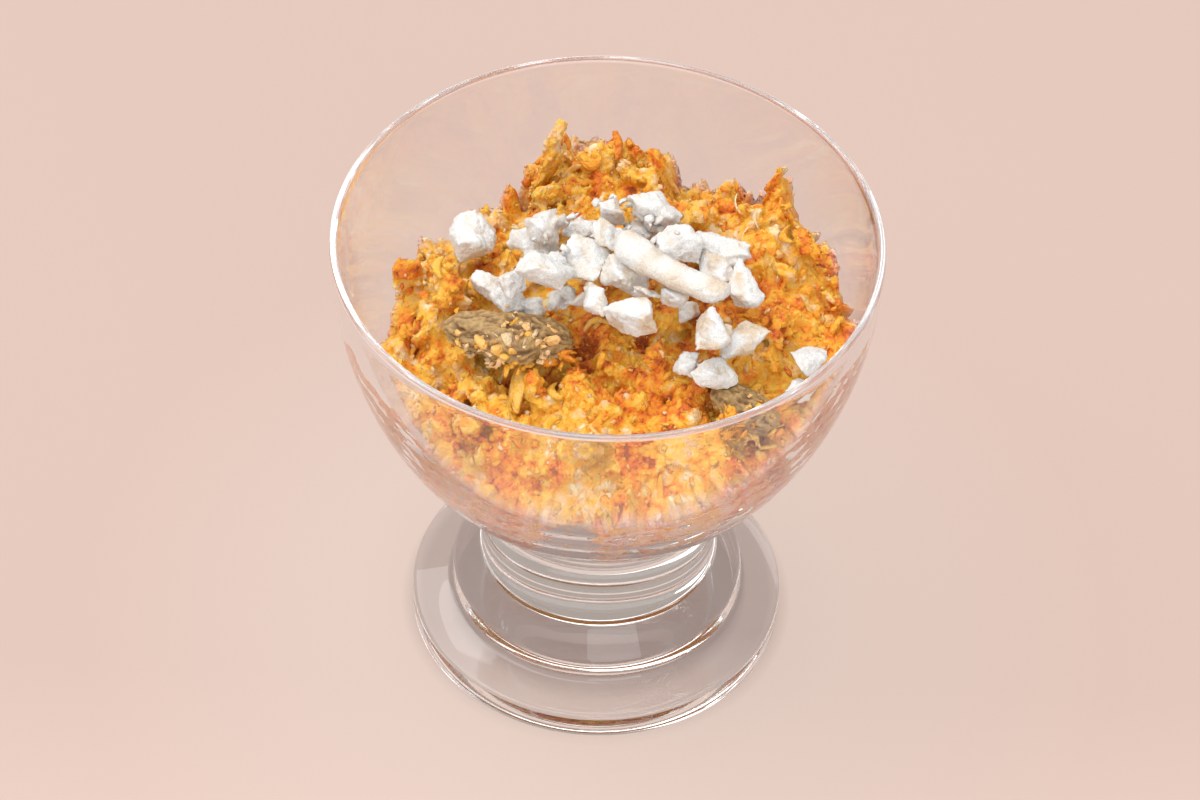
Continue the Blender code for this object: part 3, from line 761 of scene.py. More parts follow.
def bowl_profile(wall_steps, arc_steps):
    """The upper half: inner wall from the axis up, over the lip, and down the outer wall to the stem."""
    quarter = math.pi / 2
    inner = [
        wall_point(INNER_RADIUS_MM, INNER_DEPTH_MM, quarter * k / wall_steps) for k in range(wall_steps)
    ]
    thin = [(r + LIP_THINNING_MM * (k / wall_steps) ** 4, z) for k, (r, z) in enumerate(inner)]
    lip_radius = LIP_RADIUS_MM - LIP_THINNING_MM / 2
    lip = arc((RIM_RADIUS_MM - lip_radius, HEIGHT_MM - lip_radius), lip_radius, 180, 0, arc_steps + 2)
    start = waist_turn()
    outer = [
        wall_point(RIM_RADIUS_MM, OUTER_DEPTH_MM, quarter + (start - quarter) * k / wall_steps)
        for k in range(1, wall_steps + 1)
    ]
    normal = outward(start)
    centre = (outer[-1][0] + WAIST_FILLET_MM * normal[0], outer[-1][1] + WAIST_FILLET_MM * normal[1])
    first = math.degrees(math.atan2(-normal[1], -normal[0]))
    waist = arc(centre, WAIST_FILLET_MM, first, 180, arc_steps)[1:]
    return thin + lip + outer + waist


def foot_profile(arc_steps):
    """The lower half: the stem's flare, the raised collar, the foot, and the recess below."""
    flare = arc((STEM_RADIUS_MM + STEM_FLARE_MM, STEM_FLARE_Z_MM), STEM_FLARE_MM, 180, 235, arc_steps)
    collar_centre = COLLAR_RADIUS_MM - COLLAR_ROUND_MM
    collar = arc((collar_centre, COLLAR_ROUND_Z_MM), COLLAR_ROUND_MM, 48, 0, arc_steps)
    fillet_centre = COLLAR_RADIUS_MM + COLLAR_FILLET_MM
    fillet = arc((fillet_centre, COLLAR_FILLET_Z_MM), COLLAR_FILLET_MM, 180, 262, arc_steps)
    foot_centre = FOOT_RADIUS_MM - FOOT_ROUND_MM
    foot = arc((foot_centre, FOOT_ROUND_Z_MM), FOOT_ROUND_MM, 82, 0, arc_steps)
    corner_centre = FOOT_RADIUS_MM - FOOT_CORNER_MM
    corner = arc((corner_centre, FOOT_CORNER_MM), FOOT_CORNER_MM, 0, -90, arc_steps)
    recess = [
        (REST_INNER_RADIUS_MM, 0.0),
        (REST_INNER_RADIUS_MM - RECESS_STEP_MM, RECESS_STEP_MM),
        (REST_INNER_RADIUS_MM / 2, RECESS_HEIGHT_MM - RECESS_STEP_MM / 4),
        (0.0, RECESS_HEIGHT_MM),
    ]
    return flare + collar + fillet + foot + corner + recess


def spun_glass(settings):
    """The glass as one turned profile, closed at both ends of the axis."""
    bm = bmesh.new()
    profile = bowl_profile(settings.wall_steps, settings.arc_steps) + foot_profile(settings.arc_steps)
    verts = [bm.verts.new((r * MM, 0.0, z * MM)) for r, z in profile]
    edges = [bm.edges.new(pair) for pair in zip(verts, verts[1:])]
    bmesh.ops.spin(
        bm,
        geom=verts + edges,
        cent=(0, 0, 0),
        axis=(0, 0, 1),
        angle=math.tau,
        steps=settings.turn_steps,
        use_merge=True,
    )
    bmesh.ops.remove_doubles(bm, verts=bm.verts, dist=0.002 * MM)
    bmesh.ops.recalc_face_normals(bm, faces=bm.faces)
    return mesh_from(bm, "bowl")


def cavity_reach(points):
    """How far out each point lies in the bowl's hollow: 1 on its wall."""
    away = points - np.array((0.0, 0.0, LIP_CENTRE_MM * MM))
    across = np.hypot(away[:, 0], away[:, 1]) / (INNER_RADIUS_MM * MM)
    down = np.minimum(away[:, 2], 0.0) / (INNER_DEPTH_MM * MM)
    return np.hypot(across, down)


def on_wall(points):
    """How far each point is pressed on the glass: 1 on its wall, 0 clear of it."""
    return smooth_share(cavity_reach(points), 0.96, 1.0)


def moved_to_reach(points, reach, wanted):
    """The points moved along the line from the middle of the rim until they lie at the wanted reach."""
    centre = np.array((0.0, 0.0, LIP_CENTRE_MM * MM))
    away = points - centre
    below = away[:, 2] < 0
    share = np.where(below, wanted / np.maximum(reach, 1e-6), 1.0)
    return centre + away * share[:, None]


# The halwa


def crumb_shapes(count, divisions, squash, seed):
    """Small uneven lumps about 1 across, each with its own dents."""
    shapes = []
    for k in range(count):
        bm = bmesh.new()
        bmesh.ops.create_icosphere(bm, subdivisions=divisions, radius=0.5)
        shift = Vector((seed + 3.1 * k, 1.3 * k, -2.2 * k))
        for vert in bm.verts:
            way = vert.co.normalized()
            swell = 1 + 0.42 * noise.noise(way * 1.6 + shift) + 0.3 * noise.noise(way * 3.4 - shift)
            vert.co *= swell
        bmesh.ops.scale(bm, vec=(1.0, 0.8, squash), verts=bm.verts)
        mesh = mesh_from(bm, "crumb")
        mesh.attributes.new("tint", "FLOAT", "POINT")
        shapes.append(mesh)
    return shapes


def random_way(rng):
    return Vector([rng.gauss(0, 1) for _ in range(3)]).normalized()


def add_hull(bm, places):
    """Adds the smallest many-sided body that holds all of some places."""
    verts = [bm.verts.new(place) for place in places]
    hull = bmesh.ops.convex_hull(bm, input=verts)
    inside = [v for v in hull["geom_interior"] if isinstance(v, bmesh.types.BMVert)]
    bmesh.ops.delete(bm, geom=inside, context="VERTS")


def smooth(bm, factor):
    axes = {"use_axis_x": True, "use_axis_y": True, "use_axis_z": True}
    bmesh.ops.smooth_vert(bm, verts=bm.verts, factor=factor, **axes)


def flake_shapes(count, seed):
    """Small broken flakes about 1 across, many-sided, with their corners worn a little."""
    rng = random.Random(seed)
    shapes = []
    for _ in range(count):
        bm = bmesh.new()
        bodies = ((1.06, 8, 0.0), (0.66, 5, 0.35))
        for share, corners, offset in bodies:
            places = []
            for _ in range(corners):
                way = random_way(rng) * 0.5 * share
                places.append(way + Vector((offset, rng.uniform(-0.05, 0.05), 0.0)))
            add_hull(bm, places)
        bmesh.ops.subdivide_edges(bm, edges=bm.edges, cuts=1, use_grid_fill=True)
        smooth(bm, 0.4)
        bmesh.ops.recalc_face_normals(bm, faces=bm.faces)
        mesh = mesh_from(bm, "flake")
        mesh.attributes.new("tint", "FLOAT", "POINT")
        shapes.append(mesh)
    return shapes


def surface_places(mesh, spacing, tries, seed, keep=None):
    """Places spread over a mesh at least spacing apart: (point, normal) in order."""
    rng = np.random.default_rng(seed)
    mesh.calc_loop_triangles()
    corners = np.empty(len(mesh.loop_triangles) * 3, np.int32)
    mesh.loop_triangles.foreach_get("vertices", corners)
    points = points_of(mesh)[corners.reshape(-1, 3)]
    cross = np.cross(points[:, 1] - points[:, 0], points[:, 2] - points[:, 0])
    size = np.linalg.norm(cross, axis=1)
    picked = rng.choice(len(size), size=tries, p=size / size.sum())
    a, b = rng.random(tries), rng.random(tries)
    over = a + b > 1
    a[over], b[over] = 1 - a[over], 1 - b[over]
    base = points[picked]
    spots = base[:, 0] + a[:, None] * (base[:, 1] - base[:, 0]) + b[:, None] * (base[:, 2] - base[:, 0])
    ways = cross[picked] / size[picked][:, None]
    taken, found = {}, []
    for spot, way in zip(spots, ways):
        if keep is not None and not keep(spot, way):
            continue
        cell = tuple(int(c // spacing) for c in spot)
        near = (
            other
            for i in (-1, 0, 1)
            for j in (-1, 0, 1)
            for k in (-1, 0, 1)
            for other in taken.get((cell[0] + i, cell[1] + j, cell[2] + k), ())
        )
        if any(np.dot(spot - other, spot - other) < spacing * spacing for other in near):
            continue
        taken.setdefault(cell, []).append(spot)
        found.append((Vector(spot), Vector(way)))
    return found


def placed(point, way, size, rng, lean=0.5):
    """A matrix that lays a unit shape at a point, its own Z along way, with a random spin and lean."""
    base = way.to_track_quat("Z", "Y").to_matrix().to_4x4()
    turn = Euler((rng.uniform(-lean, lean), rng.uniform(-lean, lean), rng.uniform(0, math.tau)))
    return Matrix.Translation(point) @ base @ turn.to_matrix().to_4x4() @ Matrix.Diagonal((*size, 1.0))


def add_shape(bm, shape, matrix, tint=None):
    """Adds a moved copy of a mesh to a bmesh."""
    copy = shape.copy()
    copy.transform(matrix)
    if tint is not None:
        copy.attributes["tint"].data.foreach_set("value", [tint] * len(copy.vertices))
    bm.from_mesh(copy)
    bpy.data.meshes.remove(copy)


def patch_tint(point, rng):
    """A lump's tint, from 0 deep orange to 1 cream: patches of like colour, painted light that is lighter on
    the left and at the back, then its own chance.
    """
    patch = 0.42 * noise.noise(point / (10 * MM) + Vector((4.0, 0.0, 0.0)))
    # Painted light: lumps on the left and at the back are lighter, those on the right a little darker.
    side = 0.05 + 0.0035 * max(0.0, -point.x / MM) - 0.001 * max(0.0, point.x / MM)
    side += 0.003 * max(0.0, point.y / MM)
    return min(0.93, max(0.16, 0.395 + side + patch + rng.gauss(0.0, 0.18)))


def topping_tree(kind=""):
    """A search tree over the nuts and raisins, or over one kind of them."""
    bm = bmesh.new()
    for name in topping_nodes():
        if name.startswith(kind):
            bm.from_mesh(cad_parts[name].data)
    tree = BVHTree.FromBMesh(bm)
    bm.free()
    return tree


def topping_nodes():
    return sorted(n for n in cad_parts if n.startswith(("cashew", "raisin")))


def clods_on(solid, settings):
    """The solid drawn in and grown over with clods, lumps and grains: (its bmesh, [(centre, tint)])."""
    rng = random.Random(11)
    nuts, raisins = topping_tree("cashew"), topping_tree("raisin")

    def clear_for_clod(spot, way):
        near = Vector(spot)
        open_top = spot[2] > EDGE_MM * MM and way[2] > -0.3
        off_nuts = nuts.find_nearest(near, CLOD_TO_NUT_MM * MM)[0] is None
        return open_top and off_nuts and clear_for_lump(spot, way)

    def clear_for_lump(spot, _way):
        near = Vector(spot)
        off_nuts = nuts.find_nearest(near, LUMP_TO_NUT_MM * MM)[0] is None
        return off_nuts and raisins.find_nearest(near, LUMP_TO_RAISIN_MM * MM)[0] is None

    bm = bmesh.new()
    bm.from_mesh(solid)
    points, ways = points_of(solid), normals_of(solid)
    share = smooth_share(points[:, 2] / MM, EDGE_MM - 4, EDGE_MM + 4)
    share *= 1 - smooth_share(cavity_reach(points), 0.88, 0.96)
    bm.verts.ensure_lookup_table()
    for vert, move in zip(bm.verts, ways * (share * DRAWN_IN_MM * MM)[:, None]):
        vert.co -= Vector(move)
    clods = crumb_shapes(10, 3, 0.9, 30.0)
    for point, way in surface_places(solid, CLOD_SPACING_MM * MM, 9000, 8, clear_for_clod):
        width = settings.lump * rng.uniform(1.2, 2.4)
        size = (width, width * rng.uniform(0.65, 1.0), width * rng.uniform(0.7, 1.1))
        matrix = placed(point - way * width * rng.uniform(0.02, 0.5), way, size, rng, 1.0)
        if cavity_reach(np.array([point + way * 0.3 * width]))[0] < 1.0:
            add_shape(bm, rng.choice(clods), matrix)
    for place, width, height in PEAKS_MM:
        size = (width * MM, width * 0.8 * MM, height * MM)
        add_shape(bm, rng.choice(clods), placed(Vector(place) * MM, Vector((0, 0, 1)), size, rng, 0.25))
    rough = remeshed(bm, ROUGH_VOXEL_MM * MM)
    bm = bmesh.new()
    bm.from_mesh(rough)
    shapes = crumb_shapes(18, 2, 0.85, 1.0)
    lumps = []
    for spacing, low, high, lift in LUMP_SIZES:
        for point, way in surface_places(rough, spacing * settings.lump, 36000, 5, clear_for_lump):
            width = settings.lump * rng.uniform(low, high)
            size = (width, width * rng.uniform(0.6, 1.0), width * rng.uniform(0.75, 1.15))
            centre = point + way * width * rng.uniform(-0.35, lift)
            lumps.append((centre, patch_tint(centre, rng)))
            matrix = placed(centre, way, size, rng, 1.2)
            if cavity_reach(np.array([centre + way * 0.3 * width]))[0] < 1.0:
                add_shape(bm, rng.choice(shapes), matrix)
    bpy.data.meshes.remove(rough)
    return bm, lumps


def chance_at(point):
    """A number from 0 to 1 that depends on the point alone."""
    mixed = math.sin(point.x * 12.9898 + point.y * 78.233 + point.z * 37.719) * 43758.5453
    return mixed - math.floor(mixed)


def granules(points, pitch):
    """Rounded grains packed pitch apart: each point's height in its grain, and its grain's own chance."""
    heights, chances = [], []
    for point in points:
        far, spots = noise.voronoi(Vector(point) / pitch)
        seam = min(1.0, 2.6 * (far[1] - far[0]))
        heights.append(0.55 * (1 - far[0] / 0.7) + 0.45 * seam - 0.45)
        chances.append(chance_at(spots[0]))
    return np.array(heights), np.array(chances)


def lowered(points, places):
    """The heap brought down at some places: the points, and how far each went in millimetres."""
    level = LEVEL_MM + points[:, 0] / MM * LEVEL_TILT[0] + points[:, 1] / MM * LEVEL_TILT[1]
    above = smooth_share(points[:, 2] / MM - level, 1.0, 7.0)
    sunk = np.zeros(len(points))
    for x, y, radius, depth in places:
        across = points[:, :2] / MM - np.array((x, y))
        sunk += depth * above * np.exp(-(across**2).sum(axis=1) / radius**2)
    points = points.copy()
    points[:, 2] = np.minimum(points[:, 2] - sunk * MM, HEAP_TOP_MM * MM)
    return points, sunk


def halwa_piece(name, bm, voxel, above, lumps, material, nodes):
    """One closed piece of the heap: grainy, tinted lump by lump with painted light and shade on its grains
    and in its hollows, cut off at the level plane.
    """
    mesh = remeshed(bm, voxel)
    points, ways = points_of(mesh), normals_of(mesh)
    swell = noise_at(points, SWELL_MM * MM, 2.0)
    big, big_chance = granules(points, BIG_GRAIN_MM * MM)
    small, small_chance = granules(points, SMALL_GRAIN_MM * MM)
    relief = 0.3 * swell + 0.5 * big + 0.26 * small
    points, _sunk = lowered(points + ways * (relief * MM)[:, None], DENTS_MM)
    points, sunk = lowered(points, HOLLOWS_MM)
    points = leaned_on_wall(points, ways)
    set_points(mesh, points)
    near = kdtree.KDTree(len(lumps))
    for k, (centre, _tint) in enumerate(lumps):
        near.insert(centre, k)
    near.balance()
    tints_and_shade = np.array([lumps[near.find(p)[1]][1] for p in points])
    # Random tone, and painted light and shade: lighter on the tops of grains, darker low in them.
    tints_and_shade += 0.2 * (big_chance - 0.5) + 0.1 * (small_chance - 0.5) + 0.16 * big + 0.06 * small
    # Painted shade: darker down in the hollows and in the seams between grains.
    tints_and_shade -= 0.6 * smooth_share(sunk, 1.0, 3.2) + 0.12 * smooth_share(-big, 0.22, 0.5)
    wall = on_wall(points)
    # On the glass: random tone, painted shade in the seams between grains and a little painted light.
    speckle = 0.26 * (big_chance - 0.5) + 0.15 * np.minimum(big, 0.0) + 0.1 * (small_chance - 0.5)
    tints_and_shade += wall * (speckle + 0.06)
    set_value(mesh, "tint", np.clip(tints_and_shade, 0.0, 1.0))
    # How much painted light the halwa gets where it is pressed on the glass, stronger on the tops of grains.
    set_value(mesh, "wall", wall * np.clip(0.62 + 0.5 * big + 0.5 * (big_chance - 0.5), 0.1, 1.0))
    piece = bmesh.new()
    piece.from_mesh(mesh)
    bpy.data.meshes.remove(mesh)
    geom = piece.verts[:] + piece.edges[:] + piece.faces[:]
    slope = Vector((-LEVEL_TILT[0], -LEVEL_TILT[1], 1.0)).normalized()
    cut = bmesh.ops.bisect_plane(
        piece,
        geom=geom,
        dist=1e-7,
        plane_co=(0.0, 0.0, LEVEL_MM * MM),
        plane_no=slope,
        clear_inner=above,
        clear_outer=not above,
    )
    rim = [e for e in cut["geom_cut"] if isinstance(e, bmesh.types.BMEdge)]
    bmesh.ops.holes_fill(piece, edges=rim)
    return shown_piece(name, mesh_from(piece, name), material, nodes)


def build_heap(settings, material):
    """The heap: its open top, finely made, and the halwa that leans on the glass below."""
    bm, lumps = clods_on(mesh_from(node_shape("halwa"), "solid"), settings)
    both = bm.copy()
    halwa_piece("halwa_heap", bm, settings.voxel, True, lumps, material, ["halwa"])
    halwa_piece("halwa_in_glass", both, settings.voxel * LOWER_COARSER, False, lumps, material, [])


def leaned_on_wall(points, ways):
    """Points close to the glass and facing it moved onto it, except in a few hollows."""
    reach = cavity_reach(points)
    out = points - np.array((0.0, 0.0, LIP_CENTRE_MM * MM))
    out /= np.linalg.norm(out, axis=1)[:, None]
    facing = smooth_share((ways * out).sum(axis=1), 0.15, 0.6)
    close = smooth_share(reach, 0.93, 0.965)
    hollow = np.zeros(len(points))
    for pitch, shift, strength, taken_off in WALL_HOLLOWS:
        hollow += np.maximum(0.0, noise_at(points, pitch * MM, shift) * strength - taken_off)
    wanted = 1.0 + (PRESSED_IN_MM - np.minimum(hollow, DEEPEST_WALL_HOLLOW_MM)) / INNER_RADIUS_MM
    share = facing * close
    target = reach + (np.maximum(wanted, 0.93) - reach) * share
    target = np.minimum(target, 1.0 + MOST_PRESSED_IN_MM / INNER_RADIUS_MM)
    return moved_to_reach(points, reach, target)


def kept_in_bowl(mesh):
    """Draws in whatever of a mesh would pass through the glass, up to the film pressed on its wall."""
    points = points_of(mesh)
    reach = cavity_reach(points)
    points = moved_to_reach(points, reach, np.minimum(reach, 1.0 + BITS_PRESSED_IN_MM / INNER_RADIUS_MM))
    points[:, 2] = np.minimum(points[:, 2], HEAP_TOP_MM * MM)
    set_points(mesh, points)


def shown_bits(name, bm, material, at_wall=True):
    """A finished piece of loose halwa, drawn in to the bowl, with painted light making it paler where it is
    pressed on the glass.
    """
    mesh = mesh_from(bm, name)
    kept_in_bowl(mesh)
    wall = on_wall(points_of(mesh))
    set_value(mesh, "wall", wall if at_wall else 0.0 * wall)
    return shown_piece(name, mesh, material, [])


def scattered(name, core, shapes, spacing_mm, tries, seed, choose, material):
    """A piece of loose crumbs spread over the heap; choose gives each one's size, lift and tint."""
    rng = random.Random(seed)
    toppings = topping_tree()

    def wanted(spot, way):
        low = spot[2] < (HEAP_TOP_MM - 2) * MM
        return low and way[2] > -0.25 and toppings.find_nearest(Vector(spot), 0.9 * MM)[0] is None

    bm = bmesh.new()
    for point, way in surface_places(core.data, spacing_mm * MM, tries, seed, wanted):
        size, lift, tint = choose(point, rng)
        add_shape(bm, rng.choice(shapes), placed(point + way * lift, way, size, rng), tint)
    return shown_bits(name, bm, material)


def choose_lump(point, rng):
    """A loose lump's size, lift and tint."""
    width = rng.uniform(1.3, 2.7) * MM
    size = (width, width * rng.uniform(0.7, 1.0), width * rng.uniform(0.6, 0.95))
    return size, 0.05 * width, patch_tint(point, rng)


def choose_grain(point, rng):
    """A loose grain's size, lift and tint."""
    width = rng.uniform(0.55, 1.25) * MM
    size = (width, width * rng.uniform(0.6, 1.0), width * rng.uniform(0.5, 0.9))
    return size, 0.1 * width, min(0.85, patch_tint(point, rng) + 0.08)


def choose_cream(_point, rng):
    """The size, lift and tint of a bit of milk solids."""
    width = rng.uniform(1.0, 2.4) * MM
    size = (width, width * rng.uniform(0.5, 0.9), width * rng.uniform(0.5, 0.8))
    return size, 0.05 * width, rng.uniform(0.66, 0.92)


def shred_shape(length, width, height, bend, twist, seed):
    """A grated shred: a flat strip with tapered ends, bent sideways and twisted, with a ragged edge."""
    bm = bmesh.new()
    bmesh.ops.create_cube(bm, size=1.0)
    bmesh.ops.bevel(
        bm,
        geom=[e for e in bm.edges if abs((e.verts[0].co - e.verts[1].co).x) > 0.5],
        offset=0.28,
        segments=1,
        profile=0.5,
        affect="EDGES",
        material=-1,
    )
    along = [e for e in bm.edges if abs((e.verts[0].co - e.verts[1].co).x) > 0.5]
    bmesh.ops.subdivide_edges(bm, edges=along, cuts=7, use_grid_fill=True)
    for vert in bm.verts:
        share = 2 * vert.co.x
        taper = 1 - 0.35 * abs(share) ** 3
        ragged = 1 + 0.35 * noise.noise(Vector((share * 2.6, vert.co.y, seed)))
        y = vert.co.y * width * taper * ragged
        z = vert.co.z * height * (1 - 0.4 * abs(share) ** 3)
        turn = twist * share
        rolled = y * math.sin(turn) + z * math.cos(turn)
        vert.co = Vector((
            share * length / 2,
            y * math.cos(turn) - z * math.sin(turn) + bend * (1 - share * share),
            rolled + 0.5 * bend * (1 - share * share) * math.sin(seed),
        ))
    mesh = mesh_from(bm, "shred")
    mesh.attributes.new("tint", "FLOAT", "POINT")
    return mesh


def build_shreds(core, material):
    """Curved shreds of carrot lying in the crumbs."""
    rng = random.Random(41)
    toppings = topping_tree()
    shapes = [
        shred_shape(
            rng.uniform(2.8, 5.5) * MM,
            rng.uniform(1.0, 1.7) * MM,
            rng.uniform(0.7, 1.1) * MM,
            rng.uniform(0.3, 1.6) * MM,
            rng.uniform(-0.9, 0.9),
            1.0 + k,
        )
        for k in range(16)
    ]

    def wanted(spot, way):
        low = spot[2] < (HEAP_TOP_MM - 4) * MM
        return low and way[2] > 0.1 and toppings.find_nearest(Vector(spot), 2.2 * MM)[0] is None

    bm = bmesh.new()
    for point, way in surface_places(core.data, SHRED_SPACING_MM * MM, 5000, 77, wanted):
        if rng.random() < SHREDS_LEFT_OUT:
            continue
        tint = min(0.8, max(0.1, rng.gauss(0.42, 0.14)))
        add_shape(bm, rng.choice(shapes), placed(point + way * 0.25 * MM, way, (1, 1, 1), rng, 0.45), tint)
    return shown_bits("halwa_shreds", bm, material)


def top_of(piece, x, y):
    """Where a line straight down at x, y meets a piece: (point, normal)."""
    start = Vector((x, y, 200.0)) * MM
    place, way, _face, _far = tree_of(piece.data).ray_cast(start, Vector((0.0, 0.0, -1.0)))
    if place is None:
        raise RuntimeError(f"{piece.name} has no top at {x}, {y}")
    return place, way


def build_strays(core, material):
    """One long curved shred at the front, a cream crumb at the left and a few pale fibres at the right."""
    rng = random.Random(5)
    bm = bmesh.new()
    far_end, near_end = (top_of(core, *end)[0] for end in LONG_SHRED_ENDS_MM)
    span = far_end - near_end
    long_shred = shred_shape(span.length + 1.5 * MM, 2.7 * MM, 1.3 * MM, 1.5 * MM, 0.5, 2.4)
    lie = span.to_track_quat("X", "Z").to_matrix().to_4x4()
    middle = (far_end + near_end) / 2 + Vector((0, 0, 1.1 * MM))
    add_shape(bm, long_shred, Matrix.Translation(middle) @ lie, 0.62)
    place, way = top_of(core, *CREAM_CRUMB_MM)
    cream = flake_shapes(1, 90)[0]
    add_shape(bm, cream, placed(place, way, (3.4 * MM, 2.4 * MM, 2.0 * MM), rng), 0.98)
    for k in range(FIBRE_COUNT):
        length, bend = rng.uniform(2.6, 4.6) * MM, rng.uniform(0.6, 1.6) * MM
        fibre = shred_shape(length, 0.3 * MM, 0.24 * MM, bend, 0.4, 5.0 + k)
        x, y = FIBRES_MM[0] + rng.uniform(-1.6, 1.6), FIBRES_MM[1] + rng.uniform(-3.0, 3.0)
        place, way = top_of(core, x, y)
        lean = Euler((rng.uniform(-0.5, 0.5), rng.uniform(-0.9, 0.2), rng.uniform(0.9, 1.9)))
        lie = Matrix.Translation(place + way * 0.6 * MM) @ lean.to_matrix().to_4x4()
        add_shape(bm, fibre, lie, 1.0)
    return shown_bits("halwa_strays", bm, material, at_wall=False)


# The cashews and raisins


def long_axes(points):
    """The middle of some points and their three axes, longest first."""
    centre = points.mean(axis=0)
    _size, axes = np.linalg.eigh(np.cov((points - centre).T))
    axes = axes[:, ::-1]
    if np.linalg.det(axes) < 0:
        axes[:, 2] *= -1
    return centre, axes


def frame_of(name):
    """A solid's own frame: its matrix at the middle of its box along its own axes, and its half sizes."""
    bm = node_shape(name)
    points = np.array([v.co for v in bm.verts])
    bm.free()
    centre, axes = long_axes(points)
    local = (points - centre) @ axes
    low, high = local.min(axis=0), local.max(axis=0)
    middle = centre + axes @ ((low + high) / 2)
    matrix = Matrix.Translation(middle) @ Matrix(axes.tolist()).to_4x4()
    return matrix, Vector((high - low) / 2)


def in_frame(matrix, points):
    inverse = np.array(matrix.inverted())
    return points @ inverse[:3, :3].T + inverse[:3, 3]


def chopped_bit(half, rng, whole=False):
    """A lump of kernel broken off by the knife: two many-sided bodies, a larger and a smaller one, joined."""
    bm = bmesh.new()
    bodies = ((1.0, 11, 0.0), (0.62, 8, rng.uniform(0.3, 0.5)))
    if whole:
        bodies = ((1.0, 22, 0.0),)
    for share, count, offset in bodies:
        places = []
        side = rng.choice((-1, 1)) * offset
        for _ in range(count):
            way = random_way(rng)
            way /= max(abs(c) for c in way) ** 0.55
            way = Vector((way.x * share + side, way.y * share, way.z * share))
            places.append([c * h for c, h in zip(way, half)])
        add_hull(bm, places)
    bmesh.ops.recalc_face_normals(bm, faces=bm.faces)
    return bm


def rounded(mesh, times):
    """The mesh with its sharp edges worn round."""
    bm = bmesh.new()
    bm.from_mesh(mesh)
    bpy.data.meshes.remove(mesh)
    for _ in range(times):
        smooth(bm, 0.5)
    return mesh_from(bm, "rounded")


def finished_bit(bm, voxel, shift, roughness, beige, wear):
    """A chopped bit remeshed, worn round and roughened, with the skin's share on its verts: skin patches and,
    as painted shade, its dents.
    """
    mesh = rounded(remeshed(bm, voxel), wear)
    points, ways = points_of(mesh), normals_of(mesh)
    rough = 0.3 * noise_at(points, 2.6 * MM, shift + 4)
    rough += 0.17 * noise_at(points, 1.2 * MM, shift) + 0.15 * noise_at(points, 0.6 * MM, shift + 9)
    set_points(mesh, points + ways * (roughness * rough * MM)[:, None])
    patches = smooth_share(noise_at(points, 3.4 * MM, shift + 6), -0.15, 0.35)
    # Painted shade: beige down in the dents, on top of the skin patches.
    set_value(mesh, "skin", np.clip(beige * patches + 0.5 * smooth_share(-rough, 0.06, 0.26), 0.0, 1.0))
    return mesh


def build_nuts(settings, material):
    """The chopped cashews: a broken kernel in each solid's place, white where cut, beige on its skin and, as
    painted shade, in its dents.
    """
    rng = random.Random(19)
    names = [n for n in topping_nodes() if n.startswith("cashew") and n != "cashew_half"]
    bm = bmesh.new()
    for name in names:
        matrix, half = frame_of(name)
        alone = matrix.translation.x < LONE_CHIP_X_MM * MM
        kernel = chopped_bit(half * (LONE_CHIP_GROWTH if alone else CHIP_GROWTH), rng, alone)
        kernel.transform(matrix)
        beige = rng.choice((0.2, 0.4, 0.65, 0.95))
        mesh = finished_bit(kernel, settings.nut_voxel, rng.uniform(0, 50), 1.3, beige, 4)
        bm.from_mesh(mesh)
        bpy.data.meshes.remove(mesh)
    return shown_piece("cashew_chips", mesh_from(bm, "chips"), material, names)


def build_crumbled_nuts(material):
    """Small fragments of cashew in the gaps between the chips."""
    rng = random.Random(23)
    chips = [frame_of(n) for n in topping_nodes() if n.startswith("cashew")]
    shapes = flake_shapes(12, 24)
    for shape in shapes:
        set_value(shape, "skin", [0.35 * rng.random()] * len(shape.vertices))
    bm = bmesh.new()
    for matrix, half in chips:
        for _ in range(rng.randrange(3, 6)):
            turn = rng.uniform(0, math.tau)
            reach = max(half.x, half.y) * rng.uniform(0.8, 1.15)
            step = Vector((math.cos(turn) * reach, math.sin(turn) * reach, rng.uniform(-0.4, 0.4) * half.z))
            place = matrix.translation + step
            if math.dist(place.xy / MM, PILE_MIDDLE_MM) > PILE_REACH_MM:
                continue
            size = rng.uniform(1.2, 3.6) * MM
            way = Vector((rng.gauss(0, 0.4), rng.gauss(0, 0.4), 1.0))
            matrix_here = placed(place, way, (size, size * rng.uniform(0.6, 0.9), size * 0.6), rng, 1.0)
            add_shape(bm, rng.choice(shapes), matrix_here)
    return shown_piece("cashew_crumbs", mesh_from(bm, "crumbled"), material, [])


